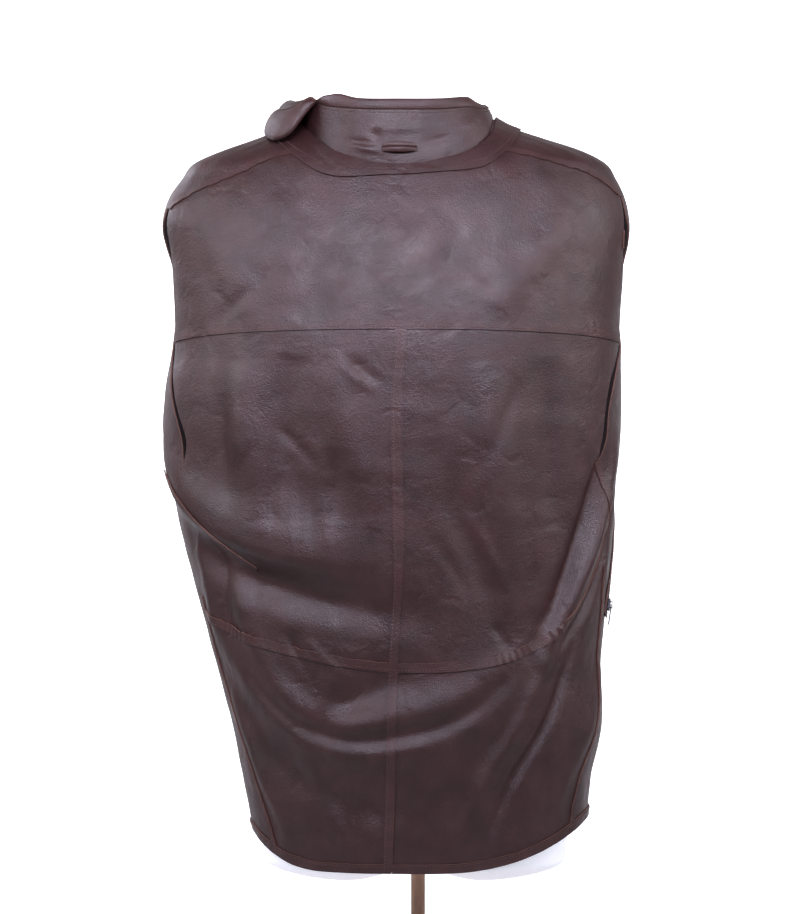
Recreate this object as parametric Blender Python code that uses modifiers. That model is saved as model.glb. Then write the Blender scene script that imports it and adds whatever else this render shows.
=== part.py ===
"""Sleeveless leather jacket on a limbless dress form with a wooden counter stand.

Metres, +Z up, floor at z = 0, pole axis at x = y = 0.
The back of the garment faces +Y, the front faces -Y, the wearer's left is +X.
Every leather panel is cut from one wrapped surface: a ring angle (0 at the centre back, +90 at the
wearer's left side, 180 at the centre front) and a height give a point on it.
"""
import math
from collections import namedtuple

import bmesh
import bpy
import numpy as np
from mathutils import Matrix, Vector

MM = 0.001

# leather and seams
WALL = 1.4 * MM              # panel leather
SEAM_HALF_GAP = 0.2 * MM     # each panel stops this far short of its seam line
LAY_GAP = 0.35 * MM          # clearance between a piece and what it lies on
FACING_WALL = 1.1 * MM
FACING_GAP = 1.3 * MM        # the facing bridges the slope of the shoulder
EDGE_WALL = 2.6 * MM         # rolled top of the collar, two layers
RING_POWER = 2.3             # superellipse power of a ring
ARC_PER_DEGREE = 3.3 * MM    # surface length of one degree of ring angle, for folds

# neck line, an ellipse in front view
NECK_SIDE_Z = 954 * MM
NECK_HALF = 95 * MM
NECK_BACK_DROP = 52 * MM
NECK_FRONT_DROP = 104 * MM
NECK_EDGE_GAP = 0.8 * MM

# seams across the back
YOKE_Z, YOKE_END_DROP = 739 * MM, 9 * MM
WAIST_Z = 408 * MM
HEM_Z = 211 * MM
UNDERARM_Z, UNDERARM_ANGLE = 612 * MM, 63.0

# centre-front zip
ZIP_HALF = 5 * MM            # panel edge to zip centre below the slider
ZIP_STOP_Z = 742 * MM        # the slider stands here, open above
ZIP_OPEN_HALF = 45 * MM      # half opening at the neck
TAPE_WALL = 1.0 * MM
TAPE_IN, TAPE_OUT = 4.6 * MM, 9.0 * MM

# pocket zips
POCKET_WIDTH = 9 * MM
POCKET_WALL = 1.2 * MM

# zip slider and pull
SLIDER_SIZE = (8.4 * MM, 11.0 * MM, 2.3 * MM)
BRIDGE_SIZE = (1.2 * MM, 7.2 * MM, 3.0 * MM)
BRIDGE_HOLE = (3.0 * MM, 5.4 * MM, 2.3 * MM)
PULL_SIZE = (5.0 * MM, 21.0 * MM, 1.0 * MM)
PULL_EYE = (2.6 * MM, 3.9 * MM, 4.0 * MM)
PULL_BAR = 0.5 * MM          # half the bar that runs under the bridge

# stand
POLE_RADIUS = 7 * MM
SOCKET_CLEARANCE = 0.3 * MM
POLE_BOTTOM, POLE_TOP = 8 * MM, 280 * MM
BASE_RADIUS, BASE_THICK, BOSS_RADIUS, BOSS_TOP = 150 * MM, 18 * MM, 22 * MM, 30 * MM

# rings of the garment, mm: height, centre, half width, depth to the back and to the front, and how far the
# centre-back seam lies from the ring's centre
Section = namedtuple("Section", "z centre half back front seam")
SECTIONS = [
    Section(172, -6, 161, 92, 122, 32),
    Section(232, -3, 165, 98, 122, 29),
    Section(292, 1, 173, 104, 121, 23),
    Section(352, 1, 185, 109, 121, 22),
    Section(412, 10, 192, 112, 122, 11),
    Section(472, 15, 203, 115, 124, 3),
    Section(532, 20, 214, 119, 126, -5),
    Section(592, 24, 222, 123, 128, -8),
    Section(632, 25, 227, 125, 128, -8),
    Section(672, 25, 228, 125, 126, -8),
    Section(732, 21, 223.5, 123, 121, -8),
    Section(772, 21, 225, 118, 114, -8),
    Section(812, 21, 229, 110, 103, -8),
    Section(852, 22, 233, 99, 89, -8),
    Section(872, 21, 228, 92, 81, -8),
    Section(892, 19, 217, 84, 71, -8),
    Section(908, 18, 205, 75, 62, -8),
    Section(920, 16, 180, 67, 54, -8),
    Section(932, 17, 145, 58, 46, -8),
    Section(944, 20, 112, 52, 42, -8),
    Section(954, 21, 95, 48, 40, -8),
]

# rings of the dress form, mm
FormRing = namedtuple("FormRing", "z half back front")
FORM_RINGS = [
    FormRing(216, 150, 76, 88),
    FormRing(290, 158, 84, 92),
    FormRing(380, 160, 87, 92),
    FormRing(460, 158, 85, 92),
    FormRing(540, 164, 88, 96),
    FormRing(620, 176, 96, 103),
    FormRing(700, 185, 101, 104),
    FormRing(770, 190, 97, 96),
    FormRing(830, 194, 88, 80),
    FormRing(870, 196, 78, 67),
    FormRing(893, 194, 69, 57),
    FormRing(906, 186, 62, 48),
    FormRing(917.8, 177, 56, 43),
    FormRing(929.8, 143, 50, 37),
    FormRing(941.8, 108, 48, 35),
    FormRing(948.5, 80, 50, 39),
    FormRing(955, 64, 50, 42),
]
FORM_LEAN = (3, 17.8)         # form centre at its lowest and highest ring, mm
FORM_LOBE_DROP = 26 * MM
FORM_GROOVE = 0.75           # share of the drop lost at the middle
FORM_GROOVE_HALF = 42 * MM
FORM_NECK_RISE = 5 * MM

# side seam: the ring angle where it meets the hem, and its ring angle at a height in mm
SEAM_FOOT = 60.0
Edge = namedtuple("Edge", "z angle")
SIDE_SEAM = [Edge(200, 58), Edge(250, 61), Edge(295, 65.5), Edge(340, 71.5), Edge(390, 75.5),
             Edge(460, 76), Edge(540, 72), Edge(612, 63)]

# armhole edges of the back and of the front: ring angle on each side at a height in mm
Arm = namedtuple("Arm", "z left right")
ARMHOLE_BACK = [
    Arm(612, 62.6, 62.6), Arm(630, 61, 63), Arm(658, 65.5, 64.5), Arm(690, 72, 68), Arm(711, 76, 74),
    Arm(735, 78.5, 80), Arm(771, 78.5, 81.5), Arm(807, 76.5, 78), Arm(830, 75.3, 74), Arm(862, 75, 74),
    Arm(885, 75, 75),
]
ARMHOLE_FRONT = [
    Arm(612, 63.4, 63.4), Arm(630, 64, 66), Arm(658, 68.5, 67.5), Arm(685, 74.5, 71.5), Arm(708, 80, 78),
    Arm(735, 90, 90), Arm(765, 98, 98), Arm(800, 99, 98), Arm(830, 91, 88), Arm(852, 82, 80),
    Arm(885, 78, 78),
]

# shoulder seam behind the ridge, from the tip to the neck line: ring angle and height in mm for each side
Shoulder = namedtuple("Shoulder", "angle left right")
SHOULDER_SEAM = [Shoulder(75, 862, 874), Shoulder(66, 871, 887), Shoulder(57, 880, 897),
                 Shoulder(46, 892, 904), Shoulder(34, 909, 913), Shoulder(21, 921, 921)]

# how each side differs: waist seam rise and power, hem rise and power, pocket zip from top to bottom
Side = namedtuple("Side", "sign word waist_rise waist_power hem_rise hem_power "
                          "pocket_top pocket_top_z pocket_end pocket_end_z")
LEFT = Side(1, "left", 51, 1.3, 35, 3.0, 122, 592, 104, 470)
RIGHT = Side(-1, "right", 108, 2.4, 48, 1.15, 101, 580, 82, 458)

# collar by neck angle (0 at the centre back, + to the wearer's left), mm: its rim above and outside the
# neck line, how far it rolls up between them, and the breadth of the rolled edge
Collar = namedtuple("Collar", "angle up out roll edge")
COLLAR_ROWS = [
    Collar(-150, 50, 10, 0, 11), Collar(-130, 40, 8, 0, 11), Collar(-112, 24, 3, 0, 10),
    Collar(-90, 12, -9, 2, 8), Collar(-72, 27, -16, 1, 9), Collar(-50, 48, -16, 0, 11),
    Collar(-25, 58, -6, 0, 11), Collar(0, 62, -4, 0, 11), Collar(25, 58, -4, 0, 11),
    Collar(50, 49, -1, 0, 12), Collar(60, 36, 11, 2, 13), Collar(68, 20, 25, 7, 14),
    Collar(78, 1, 33, 12, 15), Collar(90, -13, 35, 15, 15), Collar(104, -14, 36, 14, 15),
    Collar(126, -10, 36, 13, 14), Collar(150, -4, 34, 12, 13),
]

# main folds, each a cubic curve of ring angle and height (mm) through four control points, with the half
# breadth and the height of its roll in mm (a negative height is a hollow)
Fold = namedtuple("Fold", "a0 z0 a1 z1 a2 z2 a3 z3 half height")
FOLDS = [
    # pouch over the left waist, the dark hollow under it, and the ribs of the side below
    Fold(88, 634, 58, 562, 36, 528, 4, 522, 26, 11),
    Fold(86, 600, 54, 543, 36, 516, 12, 510, 11, 4),
    Fold(66, 536, 47, 500, 28, 494, 0, 466, 14, -12),
    # tube from the right armhole to the waist with its hollows
    Fold(-74, 634, -62, 560, -52, 500, -34, 416, 13, 10),
    Fold(-57, 610, -52, 545, -38, 485, -30, 424, 12, -8),
    # swags across the lower back and the crease at the right
    Fold(48, 488, 47, 318, -2, 333, -32, 436, 15, 8),
    Fold(67, 452, 38, 316, 0, 266, -40, 440, 15, 8),
    Fold(31, 352, 18, 372, 10, 388, 0, 412, 16, -7),
    Fold(64, 376, 42, 290, 20, 262, -12, 276, 18, -4),
    Fold(-59, 436, -46, 364, -28, 314, -18, 222, 13, -7),
    Fold(-84, 440, -70, 370, -58, 320, -44, 250, 14, 5),
    Fold(70, 390, 64, 340, 58, 300, 50, 256, 13, 4),
    # hanging folds of the middle panels
    Fold(23, 716, 25, 680, 24, 600, 20, 548, 15, -5),
    Fold(37, 712, 36, 660, 36, 600, 34, 552, 18, 5.5),
    Fold(12, 722, 11, 680, 8, 620, 4, 556, 14, 4),
    Fold(44, 660, 44, 630, 45, 610, 46, 580, 11, -4),
    Fold(-20, 712, -22, 650, -24, 580, -28, 490, 16, 5),
    Fold(-38, 716, -38, 650, -40, 590, -42, 540, 16, -5),
    Fold(-8, 640, -12, 560, -18, 500, -26, 436, 13, -4),
    # soft diagonals of the yoke
    Fold(10, 824, 13, 790, 17, 765, 22, 742, 15, -3.5),
    Fold(-46, 866, -36, 820, -28, 785, -20, 752, 20, 4),
    Fold(52, 846, 44, 810, 40, 780, 38, 748, 18, 3),
    # front: drag from the armholes and slack at the waist
    Fold(104, 690, 114, 630, 134, 560, 146, 520, 24, 5),
    Fold(-104, 690, -114, 630, -134, 560, -146, 520, 24, 5),
    Fold(96, 470, 118, 425, 140, 420, 160, 430, 20, 5),
    Fold(-92, 480, -118, 425, -140, 420, -160, 430, 20, 5),
]

# material: base colour (linear), roughness, metallic
Finish = namedtuple("Finish", "colour roughness metallic")
LEATHER = Finish((0.060, 0.040, 0.044, 1.0), 0.42, 0.0)
TAPE = Finish((0.020, 0.017, 0.018, 1.0), 0.85, 0.0)
GUNMETAL = Finish((0.080, 0.080, 0.090, 1.0), 0.30, 1.0)
FORM_COVER = Finish((0.760, 0.780, 0.800, 1.0), 0.60, 0.0)
WOOD = Finish((0.320, 0.200, 0.140, 1.0), 0.45, 0.0)


for old in list(bpy.data.objects):
    bpy.data.objects.remove(old, do_unlink=True)
PARTS = bpy.data.collections.new("leather_jacket_on_form")
CUTTERS = bpy.data.collections.new("cutters")
for collection in (PARTS, CUTTERS):
    bpy.context.scene.collection.children.link(collection)


def smooth(x, knots, values):
    """Cubic curve through the knots (rising), held flat outside them."""
    knots, values = np.asarray(knots, float), np.asarray(values, float)
    slope = np.gradient(values, knots)
    x = np.clip(x, knots[0], knots[-1])
    i = np.clip(np.searchsorted(knots, x) - 1, 0, len(knots) - 2)
    step = knots[i + 1] - knots[i]
    t = (x - knots[i]) / step
    return ((2 * t**3 - 3 * t**2 + 1) * values[i] + (t**3 - 2 * t**2 + t) * step * slope[i]
            + (3 * t**2 - 2 * t**3) * values[i + 1] + (t**3 - t**2) * step * slope[i + 1])


def column(rows, name, scale=1.0):
    """One named column of a table as an array."""
    return np.array([getattr(row, name) for row in rows], float) * scale


SECTION_Z = column(SECTIONS, "z", MM)


def section(name, z):
    """A named size of the garment ring at height z."""
    return smooth(z, SECTION_Z, column(SECTIONS, name, MM))


def signed_power(value, power):
    """|value| to the power, with the sign of value."""
    return np.sign(value) * np.abs(value) ** power


def ring_point(angle, z):
    """Smooth garment surface: superellipse ring of height z at a ring angle in degrees."""
    angle, z = np.broadcast_arrays(np.radians(angle), np.asarray(z, float))
    side, depth = np.sin(angle), np.cos(angle)
    x = section("centre", z) + section("half", z) * signed_power(side, 2 / RING_POWER)
    reach = np.where(depth > 0, section("back", z), section("front", z))
    return np.stack([x, reach * signed_power(depth, 2 / RING_POWER), z], axis=-1)


def ring_normal(angle, z):
    """Outward unit normal of the smooth surface, from the slopes along and across the rings."""
    across = ring_point(np.add(angle, 0.6), z) - ring_point(np.subtract(angle, 0.6), z)
    up = ring_point(angle, np.add(z, 0.5 * MM)) - ring_point(angle, np.subtract(z, 0.5 * MM))
    normal = np.cross(up, across)
    return normal / np.linalg.norm(normal, axis=-1, keepdims=True)


def fold_height(angle, z):
    """Sum of the folds: each a bell across its curve that fades out at both ends."""
    angle, z = np.broadcast_arrays(np.asarray(angle, float), np.asarray(z, float))
    total = np.zeros(angle.shape)
    t = np.linspace(0, 1, 33)
    for fold in FOLDS:
        weight = [(1 - t) ** 3, 3 * t * (1 - t) ** 2, 3 * t**2 * (1 - t), t**3]
        curve_a = sum(w * a for w, a in zip(weight, (fold.a0, fold.a1, fold.a2, fold.a3)))
        curve_z = sum(w * h for w, h in zip(weight, (fold.z0, fold.z1, fold.z2, fold.z3))) * MM
        gap = np.hypot((angle[..., None] - curve_a) * ARC_PER_DEGREE, z[..., None] - curve_z)
        nearest = t[np.argmin(gap, axis=-1)]
        fade = np.sin(np.pi * np.clip(nearest, 0.02, 0.98)) ** 0.6
        total += fold.height * MM * fade * np.exp(-(gap.min(axis=-1) / (fold.half * MM)) ** 2)
    return total


def cloth_point(angle, z, lift=0.0):
    """Outside of the leather: the smooth surface moved out by its folds and by lift."""
    angle, z = np.broadcast_arrays(np.asarray(angle, float), np.asarray(z, float))
    return ring_point(angle, z) + (fold_height(angle, z) + lift)[..., None] * ring_normal(angle, z)


def angle_of_width(x, z, front=False):
    """Ring angle of the point that lies x sideways from the ring's centre."""
    share = np.clip(np.abs(x) / section("half", z), 0, 1)
    angle = np.degrees(np.arcsin(share ** (RING_POWER / 2)))
    return np.sign(x) * np.where(front, 180 - angle, angle)


def edge_angle(rows, z, name="angle"):
    """Ring angle of a tabled edge at height z."""
    return smooth(z, column(rows, "z", MM), column(rows, name))


def waist_z(side, share):
    """Waist seam height at a share of the way from the centre back to the side seam."""
    return WAIST_Z + side.waist_rise * MM * share**side.waist_power


def hem_z(side, angle):
    """Shirt-tail hem height at a ring angle."""
    return HEM_Z + side.hem_rise * MM * np.sin(np.radians(angle)) ** (2 * side.hem_power)


def yoke_z(angle):
    """Yoke seam height at a ring angle."""
    return YOKE_Z - YOKE_END_DROP * (angle / 75.0) ** 2


def seam_angle(z):
    """Ring angle of the centre-back seam."""
    return angle_of_width(section("seam", z), z)


def neck_line(beta):
    """Ring angle and height of the neck line at a neck angle in degrees."""
    beta = np.radians(beta)
    z = NECK_SIDE_Z - np.where(np.cos(beta) > 0, NECK_BACK_DROP, NECK_FRONT_DROP) * np.abs(np.cos(beta))
    return angle_of_width(NECK_HALF * np.sin(beta), z, np.cos(beta) < 0), z


def even_beta(first, last, count):
    """Neck angles at even steps of length along the neck line."""
    fine = np.linspace(first, last, 721)
    length = np.linalg.norm(np.diff(ring_point(*neck_line(fine)), axis=0), axis=-1)
    length = np.concatenate([[0], np.cumsum(length)])
    return np.interp(np.linspace(0, length[-1], count), length, fine)


def neck_width(z, drop):
    """Half width of the panels' neck edge at height z, a seam gap outside the neck line."""
    share = np.clip((NECK_SIDE_Z - z) / drop, 0, 1)
    return (NECK_HALF + NECK_EDGE_GAP) * np.sqrt(1 - share**2)


def zip_half(z):
    """Half distance between the front edges: constant up to the slider, then opening to the neck."""
    share = np.clip((z - ZIP_STOP_Z - 3 * MM) / (862 * MM - ZIP_STOP_Z - 3 * MM), 0, 1.2)
    return ZIP_HALF + (ZIP_OPEN_HALF - ZIP_HALF) * share**1.3


def finish_material(name, finish):
    """Principled material with the given finish."""
    material = bpy.data.materials.new(name)
    material.use_nodes = True
    shader = material.node_tree.nodes["Principled BSDF"]
    shader.inputs["Base Color"].default_value = finish.colour
    shader.inputs["Roughness"].default_value = finish.roughness
    shader.inputs["Metallic"].default_value = finish.metallic
    return material


def add_object(name, bm, finish=None, collection=PARTS):
    """Named object from a bmesh, with its own material."""
    mesh = bpy.data.meshes.new(name)
    bm.to_mesh(mesh)
    bm.free()
    obj = bpy.data.objects.new(name, mesh)
    collection.objects.link(obj)
    if finish:
        mesh.materials.append(finish_material(name + "_finish", finish))
    if collection is CUTTERS:
        obj.hide_render = True
        obj.display_type = "WIRE"
    return obj


def sheet(name, points, wall, finish, offset=-1.0, axis_x=0.0):
    """Grid laid on an array of points [row, column, xyz], then given its wall by a solidify."""
    rows, columns = points.shape[0] - 1, points.shape[1] - 1
    bm = bmesh.new()
    bmesh.ops.create_grid(bm, x_segments=columns, y_segments=rows, size=1)
    for vert in bm.verts:
        j = round((vert.co.x + 1) / 2 * columns)
        i = round((vert.co.y + 1) / 2 * rows)
        vert.co = Vector(points[i, j])
    bm.normal_update()
    outward = sum(f.normal.x * (f.calc_center_median().x - axis_x) + f.normal.y * f.calc_center_median().y
                  for f in bm.faces)
    if outward < 0:
        bmesh.ops.reverse_faces(bm, faces=bm.faces)
    obj = add_object(name, bm, finish)
    wall_modifier = obj.modifiers.new("wall", "SOLIDIFY")
    wall_modifier.thickness = wall
    wall_modifier.offset = offset
    wall_modifier.use_even_offset = True
    return obj


def upright_gap(seam_z, arc):
    """Half gap measured upright, so that a sloping seam keeps its gap square to itself."""
    return 1.6 * SEAM_HALF_GAP * np.hypot(1, np.gradient(seam_z, arc))


def edged(first, last, count, margin=0.012):
    """Even steps with one more line close to each end, so that two panels meet at the same slope."""
    even = np.linspace(0, 1, count + 1)
    even = np.concatenate([[0, margin], even[1:-1], [1 - margin, 1]])
    return first + (last - first) * even


def degrees_of(length):
    """Ring angle that spans a length on the surface."""
    return length / ARC_PER_DEGREE


# heights at the side that the back and front panels share
def side_rows(side):
    """Heights along the side edge: hem to waist, waist to underarm, underarm to yoke seam."""
    hem_end = hem_z(side, SEAM_FOOT)
    waist_end = waist_z(side, 1.0)
    return (edged(hem_end, waist_end, 9), edged(waist_end, UNDERARM_Z, 6),
            edged(UNDERARM_Z, YOKE_Z - YOKE_END_DROP, 5))


# back panels
def back_panel(side, name, side_z, outer, low, high, columns):
    """Panel from the centre-back seam to its outer edge between two seams.

    side_z are the heights of the outer edge, outer the ring angle there; low and high give the seam
    heights at a share of the way out.
    """
    share = edged(0, 1, columns)
    rise = ((side_z - side_z[0]) / (side_z[-1] - side_z[0]))[:, None]
    floor, roof = low(share), high(share)
    floor = floor + upright_gap(floor, share * outer[0] * ARC_PER_DEGREE)
    roof = roof - upright_gap(roof, share * outer[-1] * ARC_PER_DEGREE)
    z = floor + (roof - floor) * rise
    start = seam_angle(z) + side.sign * degrees_of(SEAM_HALF_GAP)
    end = side.sign * (outer - degrees_of(2.2 * SEAM_HALF_GAP))[:, None]
    return sheet(name, cloth_point(start + (end - start) * share, z), WALL, LEATHER)


for side in (LEFT, RIGHT):
    lower_z, middle_z, upper_z = side_rows(side)
    lower_angle = edge_angle(SIDE_SEAM, lower_z)
    back_panel(side, "back_lower_" + side.word, lower_z, lower_angle,
               lambda s, side=side, a=lower_angle[0]: hem_z(side, a * s),
               lambda s, side=side: waist_z(side, s), 14)
    back_z = np.concatenate([middle_z, upper_z[1:]])
    back_angle = np.concatenate([edge_angle(SIDE_SEAM, middle_z),
                                 edge_angle(ARMHOLE_BACK, upper_z[1:], side.word)])
    back_panel(side, "back_" + side.word, back_z, back_angle,
               lambda s, side=side: waist_z(side, s),
               lambda s, a=back_angle[-1]: yoke_z(a * s), 14)


# yoke, between the yoke seam, the armholes, the shoulder seams and the neck line
def yoke_top(share):
    """Ring angle and height of the yoke's upper edge, share -1 at the right tip to +1 at the left."""
    neck_share = 0.40
    angles = column(SHOULDER_SEAM, "angle")[::-1]
    out = np.clip((np.abs(share) - neck_share) / (1 - neck_share), 0, 1)
    angle = angles[0] + (angles[-1] - angles[0]) * out
    height = np.where(share > 0, smooth(angle, angles, column(SHOULDER_SEAM, "left", MM)[::-1]),
                      smooth(angle, angles, column(SHOULDER_SEAM, "right", MM)[::-1]))
    corner = np.degrees(np.arccos((NECK_SIDE_Z - 921 * MM) / NECK_BACK_DROP))
    neck_angle, neck_height = neck_line(np.abs(share) / neck_share * corner)
    on_neck = np.abs(share) <= neck_share
    return np.sign(share) * np.where(on_neck, neck_angle, angle), np.where(on_neck, neck_height, height)


yoke_share = edged(-1, 1, 30, 0.006)
rise = edged(0, 1, 8)[:, None]
yoke_end = [float(edge_angle(ARMHOLE_BACK, YOKE_Z - YOKE_END_DROP, word)) for word in ("left", "right")]
low_angle = yoke_share * (np.where(yoke_share > 0, *yoke_end) - degrees_of(SEAM_HALF_GAP))
low_z = yoke_z(low_angle) + SEAM_HALF_GAP
top_angle, top_z = yoke_top(yoke_share)
yoke_height = low_z + (top_z - 2.5 * SEAM_HALF_GAP - low_z) * rise
straight = low_angle + (top_angle - low_angle) * rise
armhole = np.where(yoke_share > 0, edge_angle(ARMHOLE_BACK, yoke_height, "left"),
                   -edge_angle(ARMHOLE_BACK, yoke_height, "right"))
bend = np.abs(yoke_share) ** 8 * np.sin(np.pi * rise) ** 0.3
sheet("back_yoke", cloth_point(straight + (armhole - straight) * bend, yoke_height), WALL, LEATHER)


# front panels, each in one piece from the zip round the side and over the shoulder
def front_outer(side, z):
    """Ring angle of the front panel's outer edge at height z: side seam, armhole, shoulder, neck."""
    tip = column(SHOULDER_SEAM, side.word, MM)
    return np.where(z <= UNDERARM_Z, edge_angle(SIDE_SEAM, z),
           np.where(z < tip[0], edge_angle(ARMHOLE_FRONT, z, side.word),
           np.where(z <= tip[-1], smooth(z, tip, column(SHOULDER_SEAM, "angle")),
                    angle_of_width(neck_width(z, NECK_BACK_DROP), z))))


def front_inner(z):
    """Ring angle of the front panel's inner edge: the zip edge, then the neck line."""
    width = np.where(z > 862 * MM, np.maximum(neck_width(z, NECK_FRONT_DROP), zip_half(z)), zip_half(z))
    return angle_of_width(width, z, True)


for side in (LEFT, RIGHT):
    lower_z, middle_z, _ = side_rows(side)
    tip_z = getattr(SHOULDER_SEAM[0], side.word) * MM
    armhole_z = np.linspace(UNDERARM_Z, tip_z - 0.5 * MM, 10)[1:]
    seam_z = np.sort(top_z[yoke_share * side.sign > 0.399])
    shoulder_z = np.concatenate([seam_z, np.array([930, 938, 945, 950]) * MM])
    outer_z = np.concatenate([lower_z, middle_z[1:], armhole_z, shoulder_z])
    outer_angle = front_outer(side, outer_z) + degrees_of(2 * SEAM_HALF_GAP)
    waist_end = waist_z(side, 1.0)
    fall = np.clip((waist_end - outer_z) / (waist_end - lower_z[0]), 0, 1)
    share = edged(0, 1, 11)
    inner_angle = front_inner(outer_z)
    angle = inner_angle[:, None] + (outer_angle - inner_angle)[:, None] * share
    z = outer_z[:, None] + fall[:, None] * (hem_z(side, angle) - hem_z(side, outer_angle)[:, None])
    sheet("front_" + side.word, cloth_point(side.sign * angle, z), WALL, LEATHER)


# collar
def collar_point(beta, share, lift=0.0):
    """Outside of the collar: share is 0 at the neck line and 1 at the rim."""
    beta, share = np.broadcast_arrays(np.asarray(beta, float), np.asarray(share, float))
    angle, z = neck_line(beta)
    base = ring_point(angle, z) + 0.5 * MM * ring_normal(angle, z) + np.array([0, 0, 0.4 * MM])
    ahead, behind = (ring_point(*neck_line(beta + d)) for d in (1.5, -1.5))
    outward = np.cross(np.array([0.0, 0.0, 1.0]), (ahead - behind) * np.array([1, 1, 0]))
    outward /= np.linalg.norm(outward, axis=-1, keepdims=True)
    up, out, roll = (collar_size(name, beta) for name in ("up", "out", "roll"))
    rise = up * share + roll * 4 * share * (1 - share)
    shift = out * share**1.4 + lift
    return base + shift[..., None] * outward + rise[..., None] * np.array([0.0, 0.0, 1.0])


def collar_size(name, beta):
    """A named size of the collar at a neck angle."""
    return smooth(beta, column(COLLAR_ROWS, "angle"), column(COLLAR_ROWS, name, MM))


def roll_share(beta, gap=0.0):
    """Share of the collar's height at which its rolled edge is sewn on, a gap further up."""
    length = np.hypot(collar_size("up", beta), collar_size("out", beta)) + collar_size("roll", beta)
    return 1 - (collar_size("edge", beta) - gap) / length


beta = even_beta(COLLAR_ROWS[0].angle, COLLAR_ROWS[-1].angle, 43)
collar_share = roll_share(beta) * edged(0, 1, 3, 0.03)[:, None]
sheet("collar", collar_point(beta, collar_share), WALL, LEATHER, axis_x=0.02)
edge_share = roll_share(beta, 2.6 * LAY_GAP)
edge_share = edge_share + (1 - edge_share) * edged(0, 1, 2, 0.08)[:, None]
sheet("collar_edge", collar_point(beta, edge_share), EDGE_WALL, LEATHER, offset=-0.5, axis_x=0.02)

loop_beta = np.linspace(-11.5, 11.5, 11)
loop_lift = 2.6 * MM * np.clip(1 - (loop_beta / 11.5) ** 4, 0, 1)
loop_share = np.array([0.16, 0.31])[:, None]
loop_points = collar_point(loop_beta, loop_share, LAY_GAP + loop_lift)
sheet("hanger_loop", loop_points, FACING_WALL, LEATHER, offset=1.0)


# neck facing, lying on the panels round the neck line
def top_angle_height(x, y):
    """Ring angle and height of the surface point above a place in plan, by halving the height range."""
    low, high = np.full(x.shape, 700 * MM), np.full(x.shape, 954 * MM)
    for _ in range(40):
        z = (low + high) / 2
        reach = np.where(y > 0, section("back", z), section("front", z))
        inside = (np.abs(x - section("centre", z)) / section("half", z)) ** RING_POWER + (
            np.abs(y) / reach) ** RING_POWER < 1
        low, high = np.where(inside, z, low), np.where(inside, high, z)
    reach = np.where(y > 0, section("back", z), section("front", z))
    side_share = signed_power((x - section("centre", z)) / section("half", z), RING_POWER / 2)
    depth_share = signed_power(y / reach, RING_POWER / 2)
    return np.degrees(np.arctan2(side_share, depth_share)), z


def facing_point(beta, out, lift):
    """Point of the facing: from the neck line outward in plan by a share of its width."""
    angle, z = neck_line(beta)
    here = ring_point(angle, z)
    ahead, behind = (ring_point(*neck_line(beta + d)) for d in (1.5, -1.5))
    along = ahead - behind
    outward = np.stack([-along[..., 1], along[..., 0]], axis=-1)
    outward /= np.linalg.norm(outward, axis=-1, keepdims=True)
    turn = np.abs(np.sin(np.radians(beta)))
    width = (4.2 + np.where(beta > 0, 22.8 * turn**2, 21 * turn**3)) * MM
    place = here[..., :2] + outward * (2.4 * MM + out * width)[..., None]
    return cloth_point(*top_angle_height(place[..., 0], place[..., 1]), lift)


facing_beta = even_beta(-146, 146, 49)
facing_out = np.linspace(0, 1, 3)[:, None]
sheet("neck_facing", facing_point(*np.broadcast_arrays(facing_beta, facing_out), FACING_GAP), FACING_WALL,
      LEATHER, offset=1.0, axis_x=0.02)


# zip tapes behind the front edges
tape_z = np.concatenate([np.linspace(HEM_Z + 6 * MM, ZIP_STOP_Z, 16),
                         np.linspace(ZIP_STOP_Z, 852 * MM, 9)[1:]])
for sign, word in ((1, "left"), (-1, "right")):
    width = zip_half(tape_z)[:, None] + np.linspace(-TAPE_IN, TAPE_OUT, 3)
    angle = sign * angle_of_width(width, tape_z[:, None], True)
    sheet("zip_tape_" + word, cloth_point(angle, tape_z[:, None], -WALL - 2 * LAY_GAP), TAPE_WALL, TAPE)


# pocket zips on the front panels, with sliders and pulls
def box(name, size, place, collection, finish=None):
    """Box of the given size round a place."""
    bm = bmesh.new()
    bmesh.ops.create_cube(bm, size=1.0)
    bmesh.ops.scale(bm, vec=size, verts=bm.verts)
    bmesh.ops.translate(bm, vec=place, verts=bm.verts)
    return add_object(name, bm, finish, collection)


def cut(obj, tool, operation):
    """Exact boolean of obj with a tool object."""
    modifier = obj.modifiers.new(tool.name, "BOOLEAN")
    modifier.operation = operation
    modifier.solver = "EXACT"
    modifier.object = tool


def soften(obj, width):
    """Small bevel round every edge."""
    modifier = obj.modifiers.new("bevel", "BEVEL")
    modifier.width = width
    modifier.segments = 2
    modifier.limit_method = "ANGLE"


def place_at(obj, origin, across, along, outward):
    """Put an object with its x across, y along and z outward at an origin."""
    turn = Matrix((across, along, outward)).transposed()
    obj.location = origin
    obj.rotation_euler = turn.to_euler()


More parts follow.
